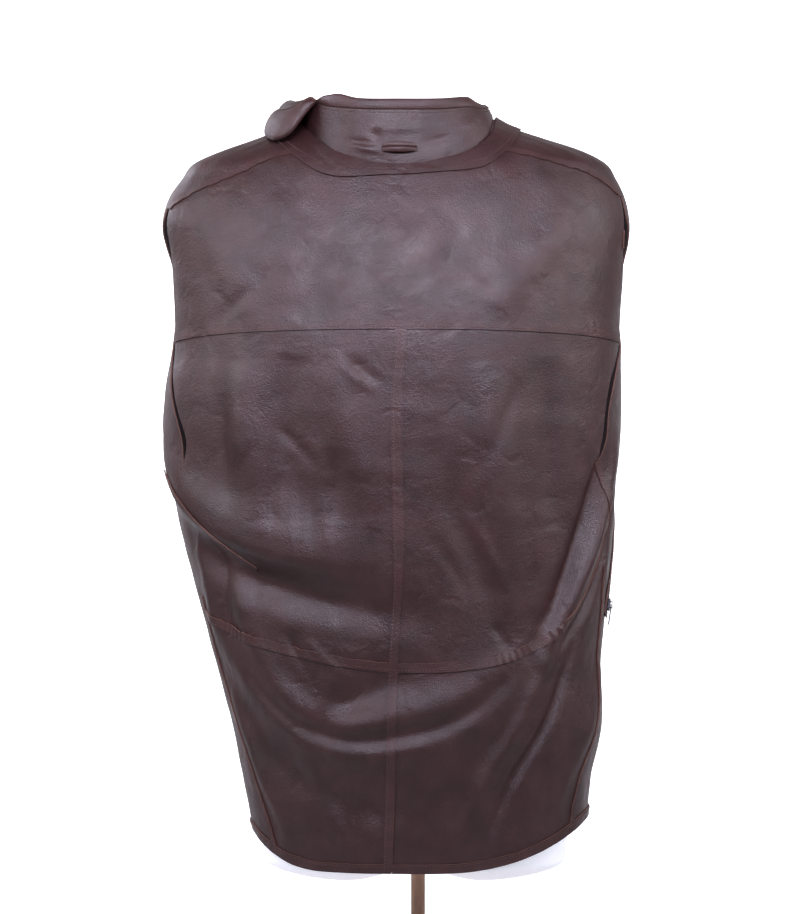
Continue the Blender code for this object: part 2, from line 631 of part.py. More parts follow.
def zip_runner(word, origin, along, outward):
    """Slider with its bridge, and the pull whose bar runs under the bridge; the pull turns on its bar."""
    origin, along, outward = Vector(origin), Vector(along).normalized(), Vector(outward).normalized()
    across = along.cross(outward).normalized()
    along = outward.cross(across)
    top = LAY_GAP + SLIDER_SIZE[2]
    bar_height = top + BRIDGE_HOLE[2] / 2
    slider = box("slider_" + word, SLIDER_SIZE, (0, 0, LAY_GAP + SLIDER_SIZE[2] / 2), PARTS, GUNMETAL)
    soften(slider, 0.5 * MM)
    bridge = box("bridge_" + word, BRIDGE_SIZE, (0, 0, top + BRIDGE_SIZE[2] / 2 - 0.1 * MM), CUTTERS)
    hole = box("bridge_hole_" + word, BRIDGE_HOLE, (0, 0, top + BRIDGE_HOLE[2] / 2), CUTTERS)
    cut(slider, bridge, "UNION")
    cut(slider, hole, "DIFFERENCE")
    pull = box("pull_" + word, PULL_SIZE, (0, PULL_BAR - PULL_SIZE[1] / 2, 0), PARTS, GUNMETAL)
    soften(pull, 0.3 * MM)
    eye = box("pull_eye_" + word, PULL_EYE, (0, -PULL_BAR - PULL_EYE[1] / 2, 0), CUTTERS)
    cut(pull, eye, "DIFFERENCE")
    for piece in (slider, bridge, hole):
        place_at(piece, origin, across, along, outward)
    for piece in (pull, eye):
        place_at(piece, origin + outward * bar_height, across, along, outward)
    print("pull_" + word, "turns at", [round(v, 6) for v in origin + outward * bar_height],
          "about", [round(v, 5) for v in -across])


for side in (LEFT, RIGHT):
    t = np.linspace(0, 1, 9)
    a = side.pocket_end + (side.pocket_top - side.pocket_end) * t
    z = (side.pocket_end_z + (side.pocket_top_z - side.pocket_end_z) * t) * MM
    run = np.array([(a[-1] - a[0]) * ARC_PER_DEGREE, z[-1] - z[0]])
    run /= np.hypot(*run)
    half = np.array([-0.5, 0.0, 0.5]) * POCKET_WIDTH
    angle = a[:, None] + degrees_of(half * run[1])
    height = z[:, None] - half * run[0]
    pocket = cloth_point(side.sign * angle, height, LAY_GAP)
    sheet("pocket_zip_" + side.word, pocket, POCKET_WALL, TAPE, offset=1.0)
    near, far = cloth_point(side.sign * a[[0, 2]], z[[0, 2]], LAY_GAP + POCKET_WALL)
    seat = near + (far - near) * 0.35 + 0.25 * MM * ring_normal(side.sign * a[0], z[0])
    outward = ring_normal(side.sign * (a[0] + 1.0), z[0] + 8 * MM)
    zip_runner("pocket_" + side.word, seat, far - near, outward)

front_seat = cloth_point(180.0, ZIP_STOP_Z - 4 * MM, -WALL - 2 * LAY_GAP)
front_rise = cloth_point(180.0, ZIP_STOP_Z + 6 * MM) - cloth_point(180.0, ZIP_STOP_Z - 14 * MM)
zip_runner("front", front_seat, front_rise, ring_normal(180.0, ZIP_STOP_Z - 4 * MM))


# dress form: a sphere laid on the form rings, with two lobes below and a neck cap above
def form_point(turn, level):
    """Point of the form: level below 0 on the lobed underside, 0 to 1 up the rings, above 1 on the cap."""
    ring_z = column(FORM_RINGS, "z", MM)
    knots = np.linspace(0, 1, len(ring_z))
    inside = np.clip(level, 0, 1)
    z = smooth(inside, knots, ring_z)
    half, back, front = (smooth(z, ring_z, column(FORM_RINGS, n, MM)) for n in ("half", "back", "front"))
    lean = np.interp(z, ring_z[[0, -1]], np.array(FORM_LEAN) * MM)
    under, over = np.clip(-level, 0, 1), np.clip(level - 1, 0, 1)
    shrink = np.cos((under + over) * np.pi / 2)
    side, depth = math.sin(turn), math.cos(turn)
    x = half * shrink * float(signed_power(side, 2 / RING_POWER))
    y = (back if depth > 0 else front) * shrink * float(signed_power(depth, 2 / RING_POWER))
    groove = FORM_GROOVE * math.exp(-(x / FORM_GROOVE_HALF) ** 2)
    drop = FORM_LOBE_DROP * np.sin(under * np.pi / 2) * (1 - groove)
    return Vector((x + lean, y, z - drop + FORM_NECK_RISE * np.sin(over * np.pi / 2)))


FORM_TURNS, FORM_LEVELS, UNDER_LEVELS, OVER_LEVELS = 32, 26, 4, 2
bm = bmesh.new()
bmesh.ops.create_uvsphere(bm, u_segments=FORM_TURNS, v_segments=FORM_LEVELS, radius=1.0)
for vert in bm.verts:
    step = round((math.asin(max(-1.0, min(1.0, vert.co.z))) / math.pi + 0.5) * FORM_LEVELS)
    body_steps = FORM_LEVELS - UNDER_LEVELS - OVER_LEVELS
    if step < UNDER_LEVELS:
        level = -(UNDER_LEVELS - step) / UNDER_LEVELS
    elif step > FORM_LEVELS - OVER_LEVELS:
        level = 1 + (step - FORM_LEVELS + OVER_LEVELS) / OVER_LEVELS
    else:
        level = (step - UNDER_LEVELS) / body_steps
    vert.co = form_point(math.atan2(vert.co.x, vert.co.y), level)
bmesh.ops.recalc_face_normals(bm, faces=bm.faces)
form = add_object("form_torso", bm, FORM_COVER)

bm = bmesh.new()
bmesh.ops.create_cone(bm, cap_ends=True, segments=32, radius1=POLE_RADIUS + SOCKET_CLEARANCE,
                      radius2=POLE_RADIUS + SOCKET_CLEARANCE, depth=POLE_TOP - 120 * MM)
bmesh.ops.translate(bm, vec=(0, 0, (POLE_TOP + 120 * MM) / 2 + SOCKET_CLEARANCE), verts=bm.verts)
cut(form, add_object("form_socket", bm, None, CUTTERS), "DIFFERENCE")

# pole and base
bm = bmesh.new()
bmesh.ops.create_cone(bm, cap_ends=True, segments=32, radius1=POLE_RADIUS, radius2=POLE_RADIUS,
                      depth=POLE_TOP - POLE_BOTTOM)
bmesh.ops.translate(bm, vec=(0, 0, (POLE_TOP + POLE_BOTTOM) / 2), verts=bm.verts)
add_object("stand_pole", bm, WOOD)

Turn = namedtuple("Turn", "radius z")
BASE_PROFILE = [
    Turn(0, POLE_BOTTOM - SOCKET_CLEARANCE),
    Turn(POLE_RADIUS + SOCKET_CLEARANCE, POLE_BOTTOM - SOCKET_CLEARANCE),
    Turn(POLE_RADIUS + SOCKET_CLEARANCE, BOSS_TOP), Turn(BOSS_RADIUS - 3 * MM, BOSS_TOP),
    Turn(BOSS_RADIUS, BOSS_TOP - 3 * MM), Turn(BOSS_RADIUS + 3 * MM, BASE_THICK + 1 * MM),
    Turn(BASE_RADIUS - 12 * MM, BASE_THICK), Turn(BASE_RADIUS - 4 * MM, BASE_THICK - 3 * MM),
    Turn(BASE_RADIUS, BASE_THICK - 8 * MM), Turn(BASE_RADIUS, 2 * MM), Turn(BASE_RADIUS - 2 * MM, 0),
    Turn(0, 0),
]
bm = bmesh.new()
corners = [bm.verts.new((turn.radius, 0, turn.z)) for turn in BASE_PROFILE]
for first, second in zip(corners, corners[1:]):
    bm.edges.new((first, second))
base = add_object("stand_base", bm, WOOD)
spin = base.modifiers.new("turned", "SCREW")
spin.axis = "Z"
spin.steps = spin.render_steps = 32
spin.use_merge_vertices = True
spin.merge_threshold = 0.00001
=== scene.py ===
# %% [markdown]
# # A draped leather jacket on a dress form
# The jacket is thin leather cut in nine panels, sewn with raw-edged seams and worn by a white torso on a
# wooden pole. All its leather hangs on one wrapped surface, so this script first rebuilds that surface,
# then lays panels, seam strips and stitches on it, and ends with the light and the camera.

# %% Load the frame
import math
from collections import namedtuple

import bpy
import numpy as np
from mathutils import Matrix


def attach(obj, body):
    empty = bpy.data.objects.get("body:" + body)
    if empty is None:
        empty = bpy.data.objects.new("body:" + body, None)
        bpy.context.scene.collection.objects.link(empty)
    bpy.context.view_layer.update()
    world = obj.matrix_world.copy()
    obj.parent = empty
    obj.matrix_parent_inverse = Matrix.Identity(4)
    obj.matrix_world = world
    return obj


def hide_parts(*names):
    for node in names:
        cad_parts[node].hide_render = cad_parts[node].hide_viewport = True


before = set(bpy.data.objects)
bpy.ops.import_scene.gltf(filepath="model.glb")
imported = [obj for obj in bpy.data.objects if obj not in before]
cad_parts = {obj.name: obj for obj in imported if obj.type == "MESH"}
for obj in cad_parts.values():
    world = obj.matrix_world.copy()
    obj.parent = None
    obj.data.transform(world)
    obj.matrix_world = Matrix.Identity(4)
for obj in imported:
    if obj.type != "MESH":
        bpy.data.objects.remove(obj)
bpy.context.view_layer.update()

MM = 0.001

# %% [markdown]
# ## The wrapped surface
# A garment on a body is close to a stack of flattened rings. Each ring is a superellipse with its own
# centre and half width, read from the photo's outline, and depths that suit a common torso. A ring angle (0 at
# the centre back, +90 at the wearer's left, 180 at the front) and a height name every point. Sculpting would
# also give the shape, but then seams and stitches could not be placed by number.

# %% Rings of the garment
RING_POWER = 2.3
Section = namedtuple("Section", "z centre half back front seam")
SECTIONS = [
    Section(172, -6, 161, 92, 122, 32), Section(232, -3, 165, 98, 122, 29), Section(292, 1, 173, 104, 121, 23),
    Section(352, 1, 185, 109, 121, 22), Section(412, 10, 192, 112, 122, 11), Section(472, 15, 203, 115, 124, 3),
    Section(532, 20, 214, 119, 126, -5), Section(592, 24, 222, 123, 128, -8), Section(632, 25, 227, 125, 128, -8),
    Section(672, 25, 228, 125, 126, -8), Section(732, 21, 223.5, 123, 121, -8), Section(772, 21, 225, 118, 114, -8),
    Section(812, 21, 229, 110, 103, -8), Section(852, 22, 233, 99, 89, -8), Section(872, 21, 228, 92, 81, -8),
    Section(892, 19, 217, 84, 71, -8), Section(908, 18, 205, 75, 62, -8), Section(920, 16, 180, 67, 54, -8),
    Section(932, 17, 145, 58, 46, -8), Section(944, 20, 112, 52, 42, -8), Section(954, 21, 95, 48, 40, -8),
]


def smooth(x, knots, values):
    """Cubic Hermite curve through rising knots, slopes from neighbours, flat outside."""
    knots, values = np.asarray(knots, float), np.asarray(values, float)
    slope = np.gradient(values, knots)
    x = np.clip(x, knots[0], knots[-1])
    i = np.clip(np.searchsorted(knots, x) - 1, 0, len(knots) - 2)
    step = knots[i + 1] - knots[i]
    t = (x - knots[i]) / step
    return ((2 * t**3 - 3 * t**2 + 1) * values[i] + (t**3 - 2 * t**2 + t) * step * slope[i]
            + (3 * t**2 - 2 * t**3) * values[i + 1] + (t**3 - t**2) * step * slope[i + 1])


def column(rows, name, scale=1.0):
    """One named column of a table as an array."""
    return np.array([getattr(row, name) for row in rows], float) * scale


def section(name, z):
    """A named size of the ring at height z."""
    return smooth(z, column(SECTIONS, "z", MM), column(SECTIONS, name, MM))


def signed_power(value, power):
    """|value| to the power, with the sign of value."""
    return np.sign(value) * np.abs(value) ** power


def ring_point(angle, z):
    """Superellipse ring: x = centre + half sin(a)^(2/p), y = depth cos(a)^(2/p)."""
    angle, z = np.broadcast_arrays(np.radians(angle), np.asarray(z, float))
    side, depth = np.sin(angle), np.cos(angle)
    x = section("centre", z) + section("half", z) * signed_power(side, 2 / RING_POWER)
    reach = np.where(depth > 0, section("back", z), section("front", z))
    return np.stack([x, reach * signed_power(depth, 2 / RING_POWER), z], axis=-1)


def ring_normal(angle, z):
    """Outward unit normal: cross product of the slopes up and along the ring."""
    across = ring_point(np.add(angle, 0.6), z) - ring_point(np.subtract(angle, 0.6), z)
    up = ring_point(angle, np.add(z, 0.5 * MM)) - ring_point(angle, np.subtract(z, 0.5 * MM))
    normal = np.cross(up, across)
    return normal / np.linalg.norm(normal, axis=-1, keepdims=True)


# %% [markdown]
# ## Folds
# Loose leather bends in long soft rolls: a pouch over the left waist, a tube down to the right waist and
# swags across the lower back. Each row of the table is a cubic curve on the surface with the half breadth
# and height of its roll, read from the photo at the back and guessed at the front, which it does not show. A
# cloth simulation could make folds, but not these ones.

# %% Fold table
Fold = namedtuple("Fold", "a0 z0 a1 z1 a2 z2 a3 z3 half height")
FOLDS = [
    # pouch over the left waist, the dark hollow under it, and the ribs of the side below
    Fold(88, 634, 58, 562, 36, 528, 4, 522, 26, 11),
    Fold(86, 600, 54, 543, 36, 516, 12, 510, 11, 4),
    Fold(66, 532, 47, 493, 28, 485, 0, 462, 19, -12),
    Fold(66, 552, 64, 510, 66, 472, 70, 430, 12, 3),
    Fold(48, 530, 47, 500, 47, 470, 50, 424, 12, 3.5),
    Fold(56, 540, 55, 500, 56, 466, 59, 426, 10, -3),
    # tube from the right armhole to the waist with its hollows
    Fold(-76, 634, -67, 560, -57, 500, -40, 420, 12, 9),
    Fold(-63, 622, -58, 556, -46, 490, -35, 424, 10, -8.5),
    Fold(-50, 534, -46, 496, -41, 466, -37, 432, 7, 2),
    Fold(-82, 590, -71, 510, -61, 460, -44, 428, 9, -6),
    # swags across the lower back and the crease at the right
    Fold(48, 488, 47, 318, -2, 333, -32, 436, 17, 7),
    Fold(67, 452, 38, 316, 0, 266, -40, 440, 18, 6.5),
    Fold(56, 420, 34, 318, 2, 316, -28, 408, 9, -5),
    Fold(31, 352, 18, 372, 10, 388, 0, 412, 16, -7),
    Fold(64, 376, 42, 290, 20, 262, -12, 276, 18, -4),
    Fold(-46, 444, -35, 372, -18, 330, -10, 224, 10, 5),
    Fold(-56, 440, -44, 364, -27, 314, -17, 222, 7, -5),
    Fold(-84, 440, -70, 370, -58, 320, -44, 250, 16, 3),
    Fold(70, 390, 64, 340, 58, 300, 50, 256, 13, 4),
    # hanging folds of the middle panels
    Fold(23, 716, 25, 680, 24, 600, 20, 548, 15, -5),
    Fold(37, 712, 36, 660, 36, 600, 34, 552, 18, 5.5),
    Fold(12, 722, 11, 680, 8, 620, 4, 556, 14, 4),
    Fold(44, 680, 44, 640, 45, 610, 46, 570, 13, -3),
    Fold(11, 626, 12, 600, 12, 580, 13, 548, 9, -4),
    Fold(-20, 712, -22, 650, -24, 580, -28, 490, 16, 5),
    Fold(-38, 716, -38, 650, -40, 590, -42, 540, 16, -5),
    Fold(-8, 640, -12, 560, -18, 500, -26, 436, 13, -4),
    # soft diagonals of the yoke
    Fold(10, 824, 13, 790, 17, 765, 22, 742, 15, -3.5),
    Fold(-46, 866, -36, 820, -28, 785, -20, 752, 20, 4),
    Fold(52, 846, 44, 810, 40, 780, 38, 748, 18, 3),
    # front: drag from the armholes and slack at the waist
    Fold(104, 690, 114, 630, 134, 560, 146, 520, 24, 5),
    Fold(-104, 690, -114, 630, -134, 560, -146, 520, 24, 5),
    Fold(96, 470, 118, 425, 140, 420, 160, 430, 20, 5),
    Fold(-92, 480, -118, 425, -140, 420, -160, 430, 20, 5),
]
CREASES = [
    # short pleats under the pouch and small creases beside the centre-back seam
    Fold(27, 640, 28.5, 590, 30, 556, 31, 506, 5, -1.3),
    Fold(22, 600, 24, 576, 24.5, 546, 25, 514, 5, 0.8),
    Fold(13, 604, 15, 572, 15.6, 548, 15, 520, 4, 1.2),
    Fold(17, 612, 18.4, 574, 19, 548, 19, 516, 4, -1.2),
    Fold(10, 716, 7.5, 704, 5, 695, 1.5, 684, 4.5, -1.7),
    Fold(11, 706, 8.5, 696, 6, 687, 3, 676, 4.5, 1.3),
    Fold(26, 644, 22, 630, 19, 622, 16, 602, 6, -2),
    Fold(-30, 696, -26, 660, -24, 640, -20, 606, 7, -1.8),
    Fold(-14, 566, -18, 540, -22, 520, -27, 480, 6, 2),
    Fold(-6, 540, -10, 520, -13, 500, -16, 470, 6, -1.6),
    Fold(34, 448, 32, 440, 30, 425, 27, 402, 5, -2),
    Fold(26, 440, 24, 428, 20, 415, 14, 400, 5, 1.6),
    Fold(-22, 452, -24, 446, -26, 438, -28, 420, 5, -2.2),
    Fold(-8, 334, -4, 300, 2, 272, 6, 240, 10, 2.2),
    Fold(36, 334, 30, 290, 26, 262, 22, 228, 11, 2.4),
    Fold(14, 300, 12, 280, 10, 260, 8, 236, 8, -1.6),
    Fold(-30, 842, -20, 822, -8, 800, 4, 786, 10, -1.0),
    Fold(30, 872, 24, 846, 16, 822, 6, 806, 10, 1.0),
    Fold(-12, 860, -14, 830, -10, 800, -6, 764, 9, -1.4),
    Fold(28, 800, 33, 780, 40, 762, 50, 748, 8, -1.6),
    # front: drag lines beside the zip and slack above the hem
    Fold(148, 640, 155, 610, 160, 580, 167, 540, 9, 2.2),
    Fold(-148, 700, -154, 660, -158, 620, -167, 590, 10, -1.8),
    Fold(140, 560, 148, 530, 156, 510, 168, 500, 9, -1.8),
    Fold(-136, 540, -146, 515, -156, 500, -168, 494, 9, 2.4),
    Fold(122, 760, 129, 720, 136, 690, 147, 660, 12, 2.4),
    Fold(-118, 770, -126, 730, -136, 700, -149, 680, 12, 2.6),
    Fold(160, 420, 158, 380, 156, 340, 154, 290, 10, 2.2),
    Fold(-150, 400, -152, 360, -150, 320, -146, 270, 11, -1.8),
    Fold(128, 400, 132, 360, 134, 320, 132, 280, 12, 2.4),
    Fold(-126, 410, -130, 370, -134, 330, -134, 280, 12, 2.4),
]
ARC_PER_DEGREE, BELL_REACH = 3.3 * MM, 2.6


def bezier(row, t):
    """Ring angle and height on a cubic curve: four corners by (1-t)^3, 3t(1-t)^2, 3t^2(1-t) and t^3."""
    weights = [(1 - t) ** 3, 3 * t * (1 - t) ** 2, 3 * t**2 * (1 - t), t**3]
    angle = sum(w * a for w, a in zip(weights, row[0:8:2]))
    return angle, sum(w * h for w, h in zip(weights, row[1:8:2])) * MM


def roll_sum(rows, angle, z):
    """Sum of rolls: height times a bell of the distance to the curve, faded at both ends."""
    angle, z = np.broadcast_arrays(np.asarray(angle, float), np.asarray(z, float))
    place = np.stack([angle * ARC_PER_DEGREE, z], axis=-1)
    total = np.zeros(angle.shape)
    for row in rows:
        curve_angle, curve_z = bezier(row, np.linspace(0, 1, 33))
        curve = np.stack([curve_angle * ARC_PER_DEGREE, curve_z], axis=-1)
        reach = BELL_REACH * row.half * MM
        near = ((place > curve.min(axis=0) - reach) & (place < curve.max(axis=0) + reach)).all(axis=-1)
        start, run = curve[:-1], np.diff(curve, axis=0)
        away = place[near][:, None] - start
        share = np.clip((away * run).sum(axis=-1) / (run * run).sum(axis=-1), 0, 1)
        gap = np.linalg.norm(away - share[..., None] * run, axis=-1)
        nearest = gap.argmin(axis=-1)[:, None]
        along = (nearest + np.take_along_axis(share, nearest, axis=-1))[:, 0] / len(run)
        fade = np.sin(np.pi * np.clip(along, 0.02, 0.98)) ** 0.6
        total[near] += row.height * MM * fade * np.exp(-(gap.min(axis=-1) / (row.half * MM)) ** 2)
    return total


# %% [markdown]
# Between the folds thin leather is never quite flat. Fourteen plane waves of 18 to 60 mm with fixed random
# directions give it that restlessness; noise in the finish alone would not change the outline of a highlight.

# %% Restless surface
WAVES, FLATNESS, WAVES_MEETING = 14, 240, 2.6
rng = np.random.default_rng(7)
WAVE_LENGTH = rng.uniform(18, 60, WAVES) * MM
WAVE_TURN = rng.uniform(0, math.pi, WAVES)
WAVE_PHASE = rng.uniform(0, 2 * math.pi, WAVES)


def ripple(angle, z):
    """Sum of plane waves; their mixed height is about 1/240 of their length, so each is 2.6 times lower."""
    along, up = np.asarray(angle, float)[..., None] * ARC_PER_DEGREE, np.asarray(z, float)[..., None]
    wave = np.sin((along * np.cos(WAVE_TURN) + up * np.sin(WAVE_TURN)) * 2 * math.pi / WAVE_LENGTH + WAVE_PHASE)
    return (wave * WAVE_LENGTH / FLATNESS / WAVES_MEETING).sum(axis=-1)


def cloth_point(angle, z, lift=0.0):
    """Outside of the leather: ring point moved along its normal by folds, creases, ripple and lift."""
    angle, z = np.broadcast_arrays(np.asarray(angle, float), np.asarray(z, float))
    out = roll_sum(FOLDS + CREASES, angle, z) + ripple(angle, z) + lift
    return ring_point(angle, z) + out[..., None] * ring_normal(angle, z)


# %% [markdown]
# ## Where the seams run
# The cut lines are also numbers on the surface: waist, hem and yoke seams as heights over the ring angle,
# side seam, armholes and shoulder seam as short tables. The two sides differ, as in the photo.

# %% Seam lines
YOKE_Z, WAIST_Z, HEM_Z, UNDERARM_Z = 739 * MM, 408 * MM, 211 * MM, 612 * MM
YOKE_END_DROP, YOKE_END_ANGLE = 9 * MM, 75.0
Side = namedtuple("Side", "sign word waist_rise waist_power hem_rise hem_power")
LEFT, RIGHT = Side(1, "left", 51, 1.3, 35, 3.0), Side(-1, "right", 108, 2.4, 48, 1.15)
Edge = namedtuple("Edge", "z angle")
SEAM_FOOT = 60.0
SIDE_SEAM = [Edge(200, 58), Edge(250, 61), Edge(295, 65.5), Edge(340, 71.5), Edge(390, 75.5), Edge(460, 76),
             Edge(540, 72), Edge(612, 63)]
Arm = namedtuple("Arm", "z left right")
ARMHOLE_BACK = [Arm(612, 62.6, 62.6), Arm(630, 61, 63), Arm(658, 65.5, 64.5), Arm(690, 72, 68), Arm(711, 76, 74),
                Arm(735, 78.5, 80), Arm(771, 78.5, 81.5), Arm(807, 76.5, 78), Arm(830, 75.3, 74), Arm(862, 75, 74),
                Arm(885, 75, 75)]
ARMHOLE_FRONT = [Arm(612, 63.4, 63.4), Arm(630, 64, 66), Arm(658, 68.5, 67.5), Arm(685, 74.5, 71.5),
                 Arm(708, 80, 78), Arm(735, 90, 90), Arm(765, 98, 98), Arm(800, 99, 98), Arm(830, 91, 88),
                 Arm(852, 82, 80), Arm(885, 78, 78)]
Shoulder = namedtuple("Shoulder", "angle left right")
SHOULDER_SEAM = [Shoulder(75, 862, 874), Shoulder(66, 871, 887), Shoulder(57, 880, 897), Shoulder(46, 892, 904),
                 Shoulder(34, 909, 913), Shoulder(21, 921, 921)]


def angle_of_width(x, z, front=False):
    """Ring angle of the point x sideways from the ring's centre, the superellipse turned round."""
    share = np.clip(np.abs(x) / section("half", z), 0, 1)
    angle = np.degrees(np.arcsin(share ** (RING_POWER / 2)))
    return np.sign(x) * np.where(front, 180 - angle, angle)


def edge_angle(rows, z, side="angle"):
    """Ring angle of a tabled edge at height z."""
    return smooth(z, column(rows, "z", MM), column(rows, side))


def waist_z(side, share):
    """Waist seam: its height grows with a power of the share of the way to the side."""
    return WAIST_Z + side.waist_rise * MM * np.abs(share) ** side.waist_power


def hem_z(side, angle):
    """Shirt-tail hem: lowest at the centres, highest at the sides, a power of the sine."""
    return HEM_Z + side.hem_rise * MM * np.abs(np.sin(np.radians(angle))) ** (2 * side.hem_power)


def yoke_z(angle):
    """Yoke seam: a parabola over the ring angle."""
    return YOKE_Z - YOKE_END_DROP * (angle / YOKE_END_ANGLE) ** 2


def seam_angle(z):
    """Ring angle of the centre-back seam."""
    return angle_of_width(section("seam", z), z)


# %% [markdown]
# ## Finishes
# Colours are sRGB hex, set against the photo, and turned linear by one function. One small function
# adds any shader node; patterns take their scale from millimetres on Object coordinates.

# %% Colour and node helpers
def linear(hex_colour):
    """sRGB hex to linear RGBA: c/12.92 below 0.04045, else ((c + 0.055)/1.055)^2.4."""
    c = np.array([int(hex_colour[i:i + 2], 16) for i in (1, 3, 5)]) / 255
    return (*np.where(c < 0.04045, c / 12.92, ((c + 0.055) / 1.055) ** 2.4), 1.0)


def add(tree, kind, sockets, **settings):
    """One node: settings are its properties, sockets are constants or the outputs linked to it."""
    node = tree.nodes.new("ShaderNode" + kind)
    for name, value in settings.items():
        setattr(node, name, value)
    for name, value in sockets.items():
        if isinstance(value, bpy.types.NodeSocket):
            tree.links.new(value, node.inputs[name])
        else:
            node.inputs[name].default_value = value
    return node


def new_finish(name):
    """Empty material with its Principled shader, node tree and Object coordinates."""
    material = bpy.data.materials.new(name)
    material.use_nodes = True
    tree = material.node_tree
    return material, tree, tree.nodes["Principled BSDF"], add(tree, "TexCoord", {}).outputs["Object"]


# %% [markdown]
# The shell is vegetable-tanned lambskin, aniline dyed dark brown and waxed: pores and fine cell-like grain
# from the animal, cloudy colour where the dye took unevenly, and a wax that gives a broad soft sheen. Grain
# is cells of about 1.5 mm and hair lines of 6 mm in bump only; clouds of 38 mm vary the colour and patches of
# 26 mm the gloss. Wear leaves faint creases, here the edges of bent cells of 46 mm, seen only in places.

# %% Leather
def leather(name, dark, light, roughness):
    """Grain side of dyed and waxed skin: cloudy dye, fine pores, hair lines and creases, gloss worn in patches."""
    material, tree, shader, place = new_finish(name)
    cloud = add(tree, "TexNoise", {"Vector": place, "Scale": 1 / (38 * MM), "Detail": 9.0, "Roughness": 0.66})
    share = add(tree, "MapRange", {"Value": cloud.outputs["Fac"], "From Min": 0.25, "From Max": 0.75})
    tone = add(tree, "Mix", {"Factor": share.outputs["Result"], "A": linear(dark), "B": linear(light)},
               data_type="RGBA")
    cells = add(tree, "TexVoronoi", {"Vector": place, "Scale": 1 / (1.5 * MM), "Smoothness": 0.35},
                feature="SMOOTH_F1")
    lines = add(tree, "TexNoise", {"Vector": place, "Scale": 1 / (6 * MM), "Detail": 9.0, "Roughness": 0.68,
                                   "Distortion": 0.9})
    grain = add(tree, "Math", {0: lines.outputs["Fac"], 1: 2.2, 2: cells.outputs["Distance"]},
                operation="MULTIPLY_ADD")
    patch = add(tree, "TexNoise", {"Vector": place, "Scale": 1 / (26 * MM), "Detail": 6.0, "Roughness": 0.6})
    warp = add(tree, "TexNoise", {"Vector": place, "Scale": 1 / (40 * MM), "Detail": 3.0})
    bent = add(tree, "VectorMath", {0: warp.outputs["Color"], 1: (0.05, 0.05, 0.05), 2: place},
               operation="MULTIPLY_ADD")
    net = add(tree, "TexVoronoi", {"Vector": bent.outputs[0], "Scale": 1 / (46 * MM)}, feature="DISTANCE_TO_EDGE")
    crease = add(tree, "MapRange", {"Value": net.outputs["Distance"], "From Min": 0.0, "From Max": 0.15,
                                    "To Min": -1.0, "To Max": 0.0}, interpolation_type="SMOOTHSTEP")
    worn = add(tree, "MapRange", {"Value": warp.outputs["Fac"], "From Min": 0.45, "From Max": 0.65, "To Max": 2.0})
    height = add(tree, "Math", {0: crease.outputs["Result"], 1: worn.outputs["Result"], 2: grain.outputs[0]},
                 operation="MULTIPLY_ADD")
    bump = add(tree, "Bump", {"Height": height.outputs[0], "Strength": 0.46, "Distance": 0.45 * MM})
    gloss = add(tree, "MapRange", {"Value": patch.outputs["Fac"], "From Min": 0.3, "From Max": 0.7,
                                   "To Min": roughness - 0.08, "To Max": roughness + 0.10})
    tree.links.new(tone.outputs["Result"], shader.inputs["Base Color"])
    tree.links.new(gloss.outputs["Result"], shader.inputs["Roughness"])
    tree.links.new(bump.outputs["Normal"], shader.inputs["Normal"])
    shader.inputs["Specular IOR Level"].default_value = 0.58
    return material


def plain(name, dark, light, roughness, grain_mm, strength, metallic=0.0):
    """Fibrous, woven or cast surface: two tones and a bump from one noise of a given grain."""
    material, tree, shader, place = new_finish(name)
    grain = add(tree, "TexNoise", {"Vector": place, "Scale": 1 / (grain_mm * MM), "Detail": 6.0,
                                   "Roughness": 0.65})
    tone = add(tree, "Mix", {"Factor": grain.outputs["Fac"], "A": linear(dark), "B": linear(light)},
               data_type="RGBA")
    bump = add(tree, "Bump", {"Height": grain.outputs["Fac"], "Strength": strength, "Distance": 0.3 * MM})
    tree.links.new(tone.outputs["Result"], shader.inputs["Base Color"])
    tree.links.new(bump.outputs["Normal"], shader.inputs["Normal"])
    shader.inputs["Roughness"].default_value = roughness
    shader.inputs["Metallic"].default_value = metallic
    return material


BODY = leather("dyed_waxed_lambskin", "#241110", "#402424", 0.47)
BAND = leather("dyed_lambskin_worn_seams", "#291413", "#472928", 0.49)
# cut edge: undyed fibre of the skin, left raw by the knife
RAW = plain("raw_cut_skin_fibre", "#573a33", "#7d594e", 0.85, 0.8, 0.5)
# inside: split fibres of the flesh side, brushed to suede
SUEDE = plain("brushed_suede_flesh_side", "#2c2021", "#3d2e30", 0.92, 0.6, 0.6)
# waxed polyester thread
THREAD = plain("waxed_polyester_thread", "#402927", "#64453e", 0.6, 0.4, 0.4)
print("leather finishes made")

# %% [markdown]
# ## From an array to a piece of leather
# Every panel, strip and tape is the same thing: a grid of points for the grain side, the same grid moved in
# by the wall for the flesh side, and a rim between them that shows the raw cut edge. The whole grid is one
# array, so there is no loop over points; Solidify would do too, but not with three finishes placed one by one.

# %% Shells
ROOT = "jacket_on_form"
AXIS = [0.02, 0.0]
SHARP_EDGE = math.radians(50)


def grid_normal(points):
    """Unit normals of a grid: cross product of its two slopes, turned away from the body's axis."""
    normal = np.cross(np.gradient(points, axis=1), np.gradient(points, axis=0))
    normal /= np.linalg.norm(normal, axis=-1, keepdims=True) + 1e-12
    outward = (normal[..., :2] * (points[..., :2] - AXIS)).sum()
    return normal if outward > 0 else -normal


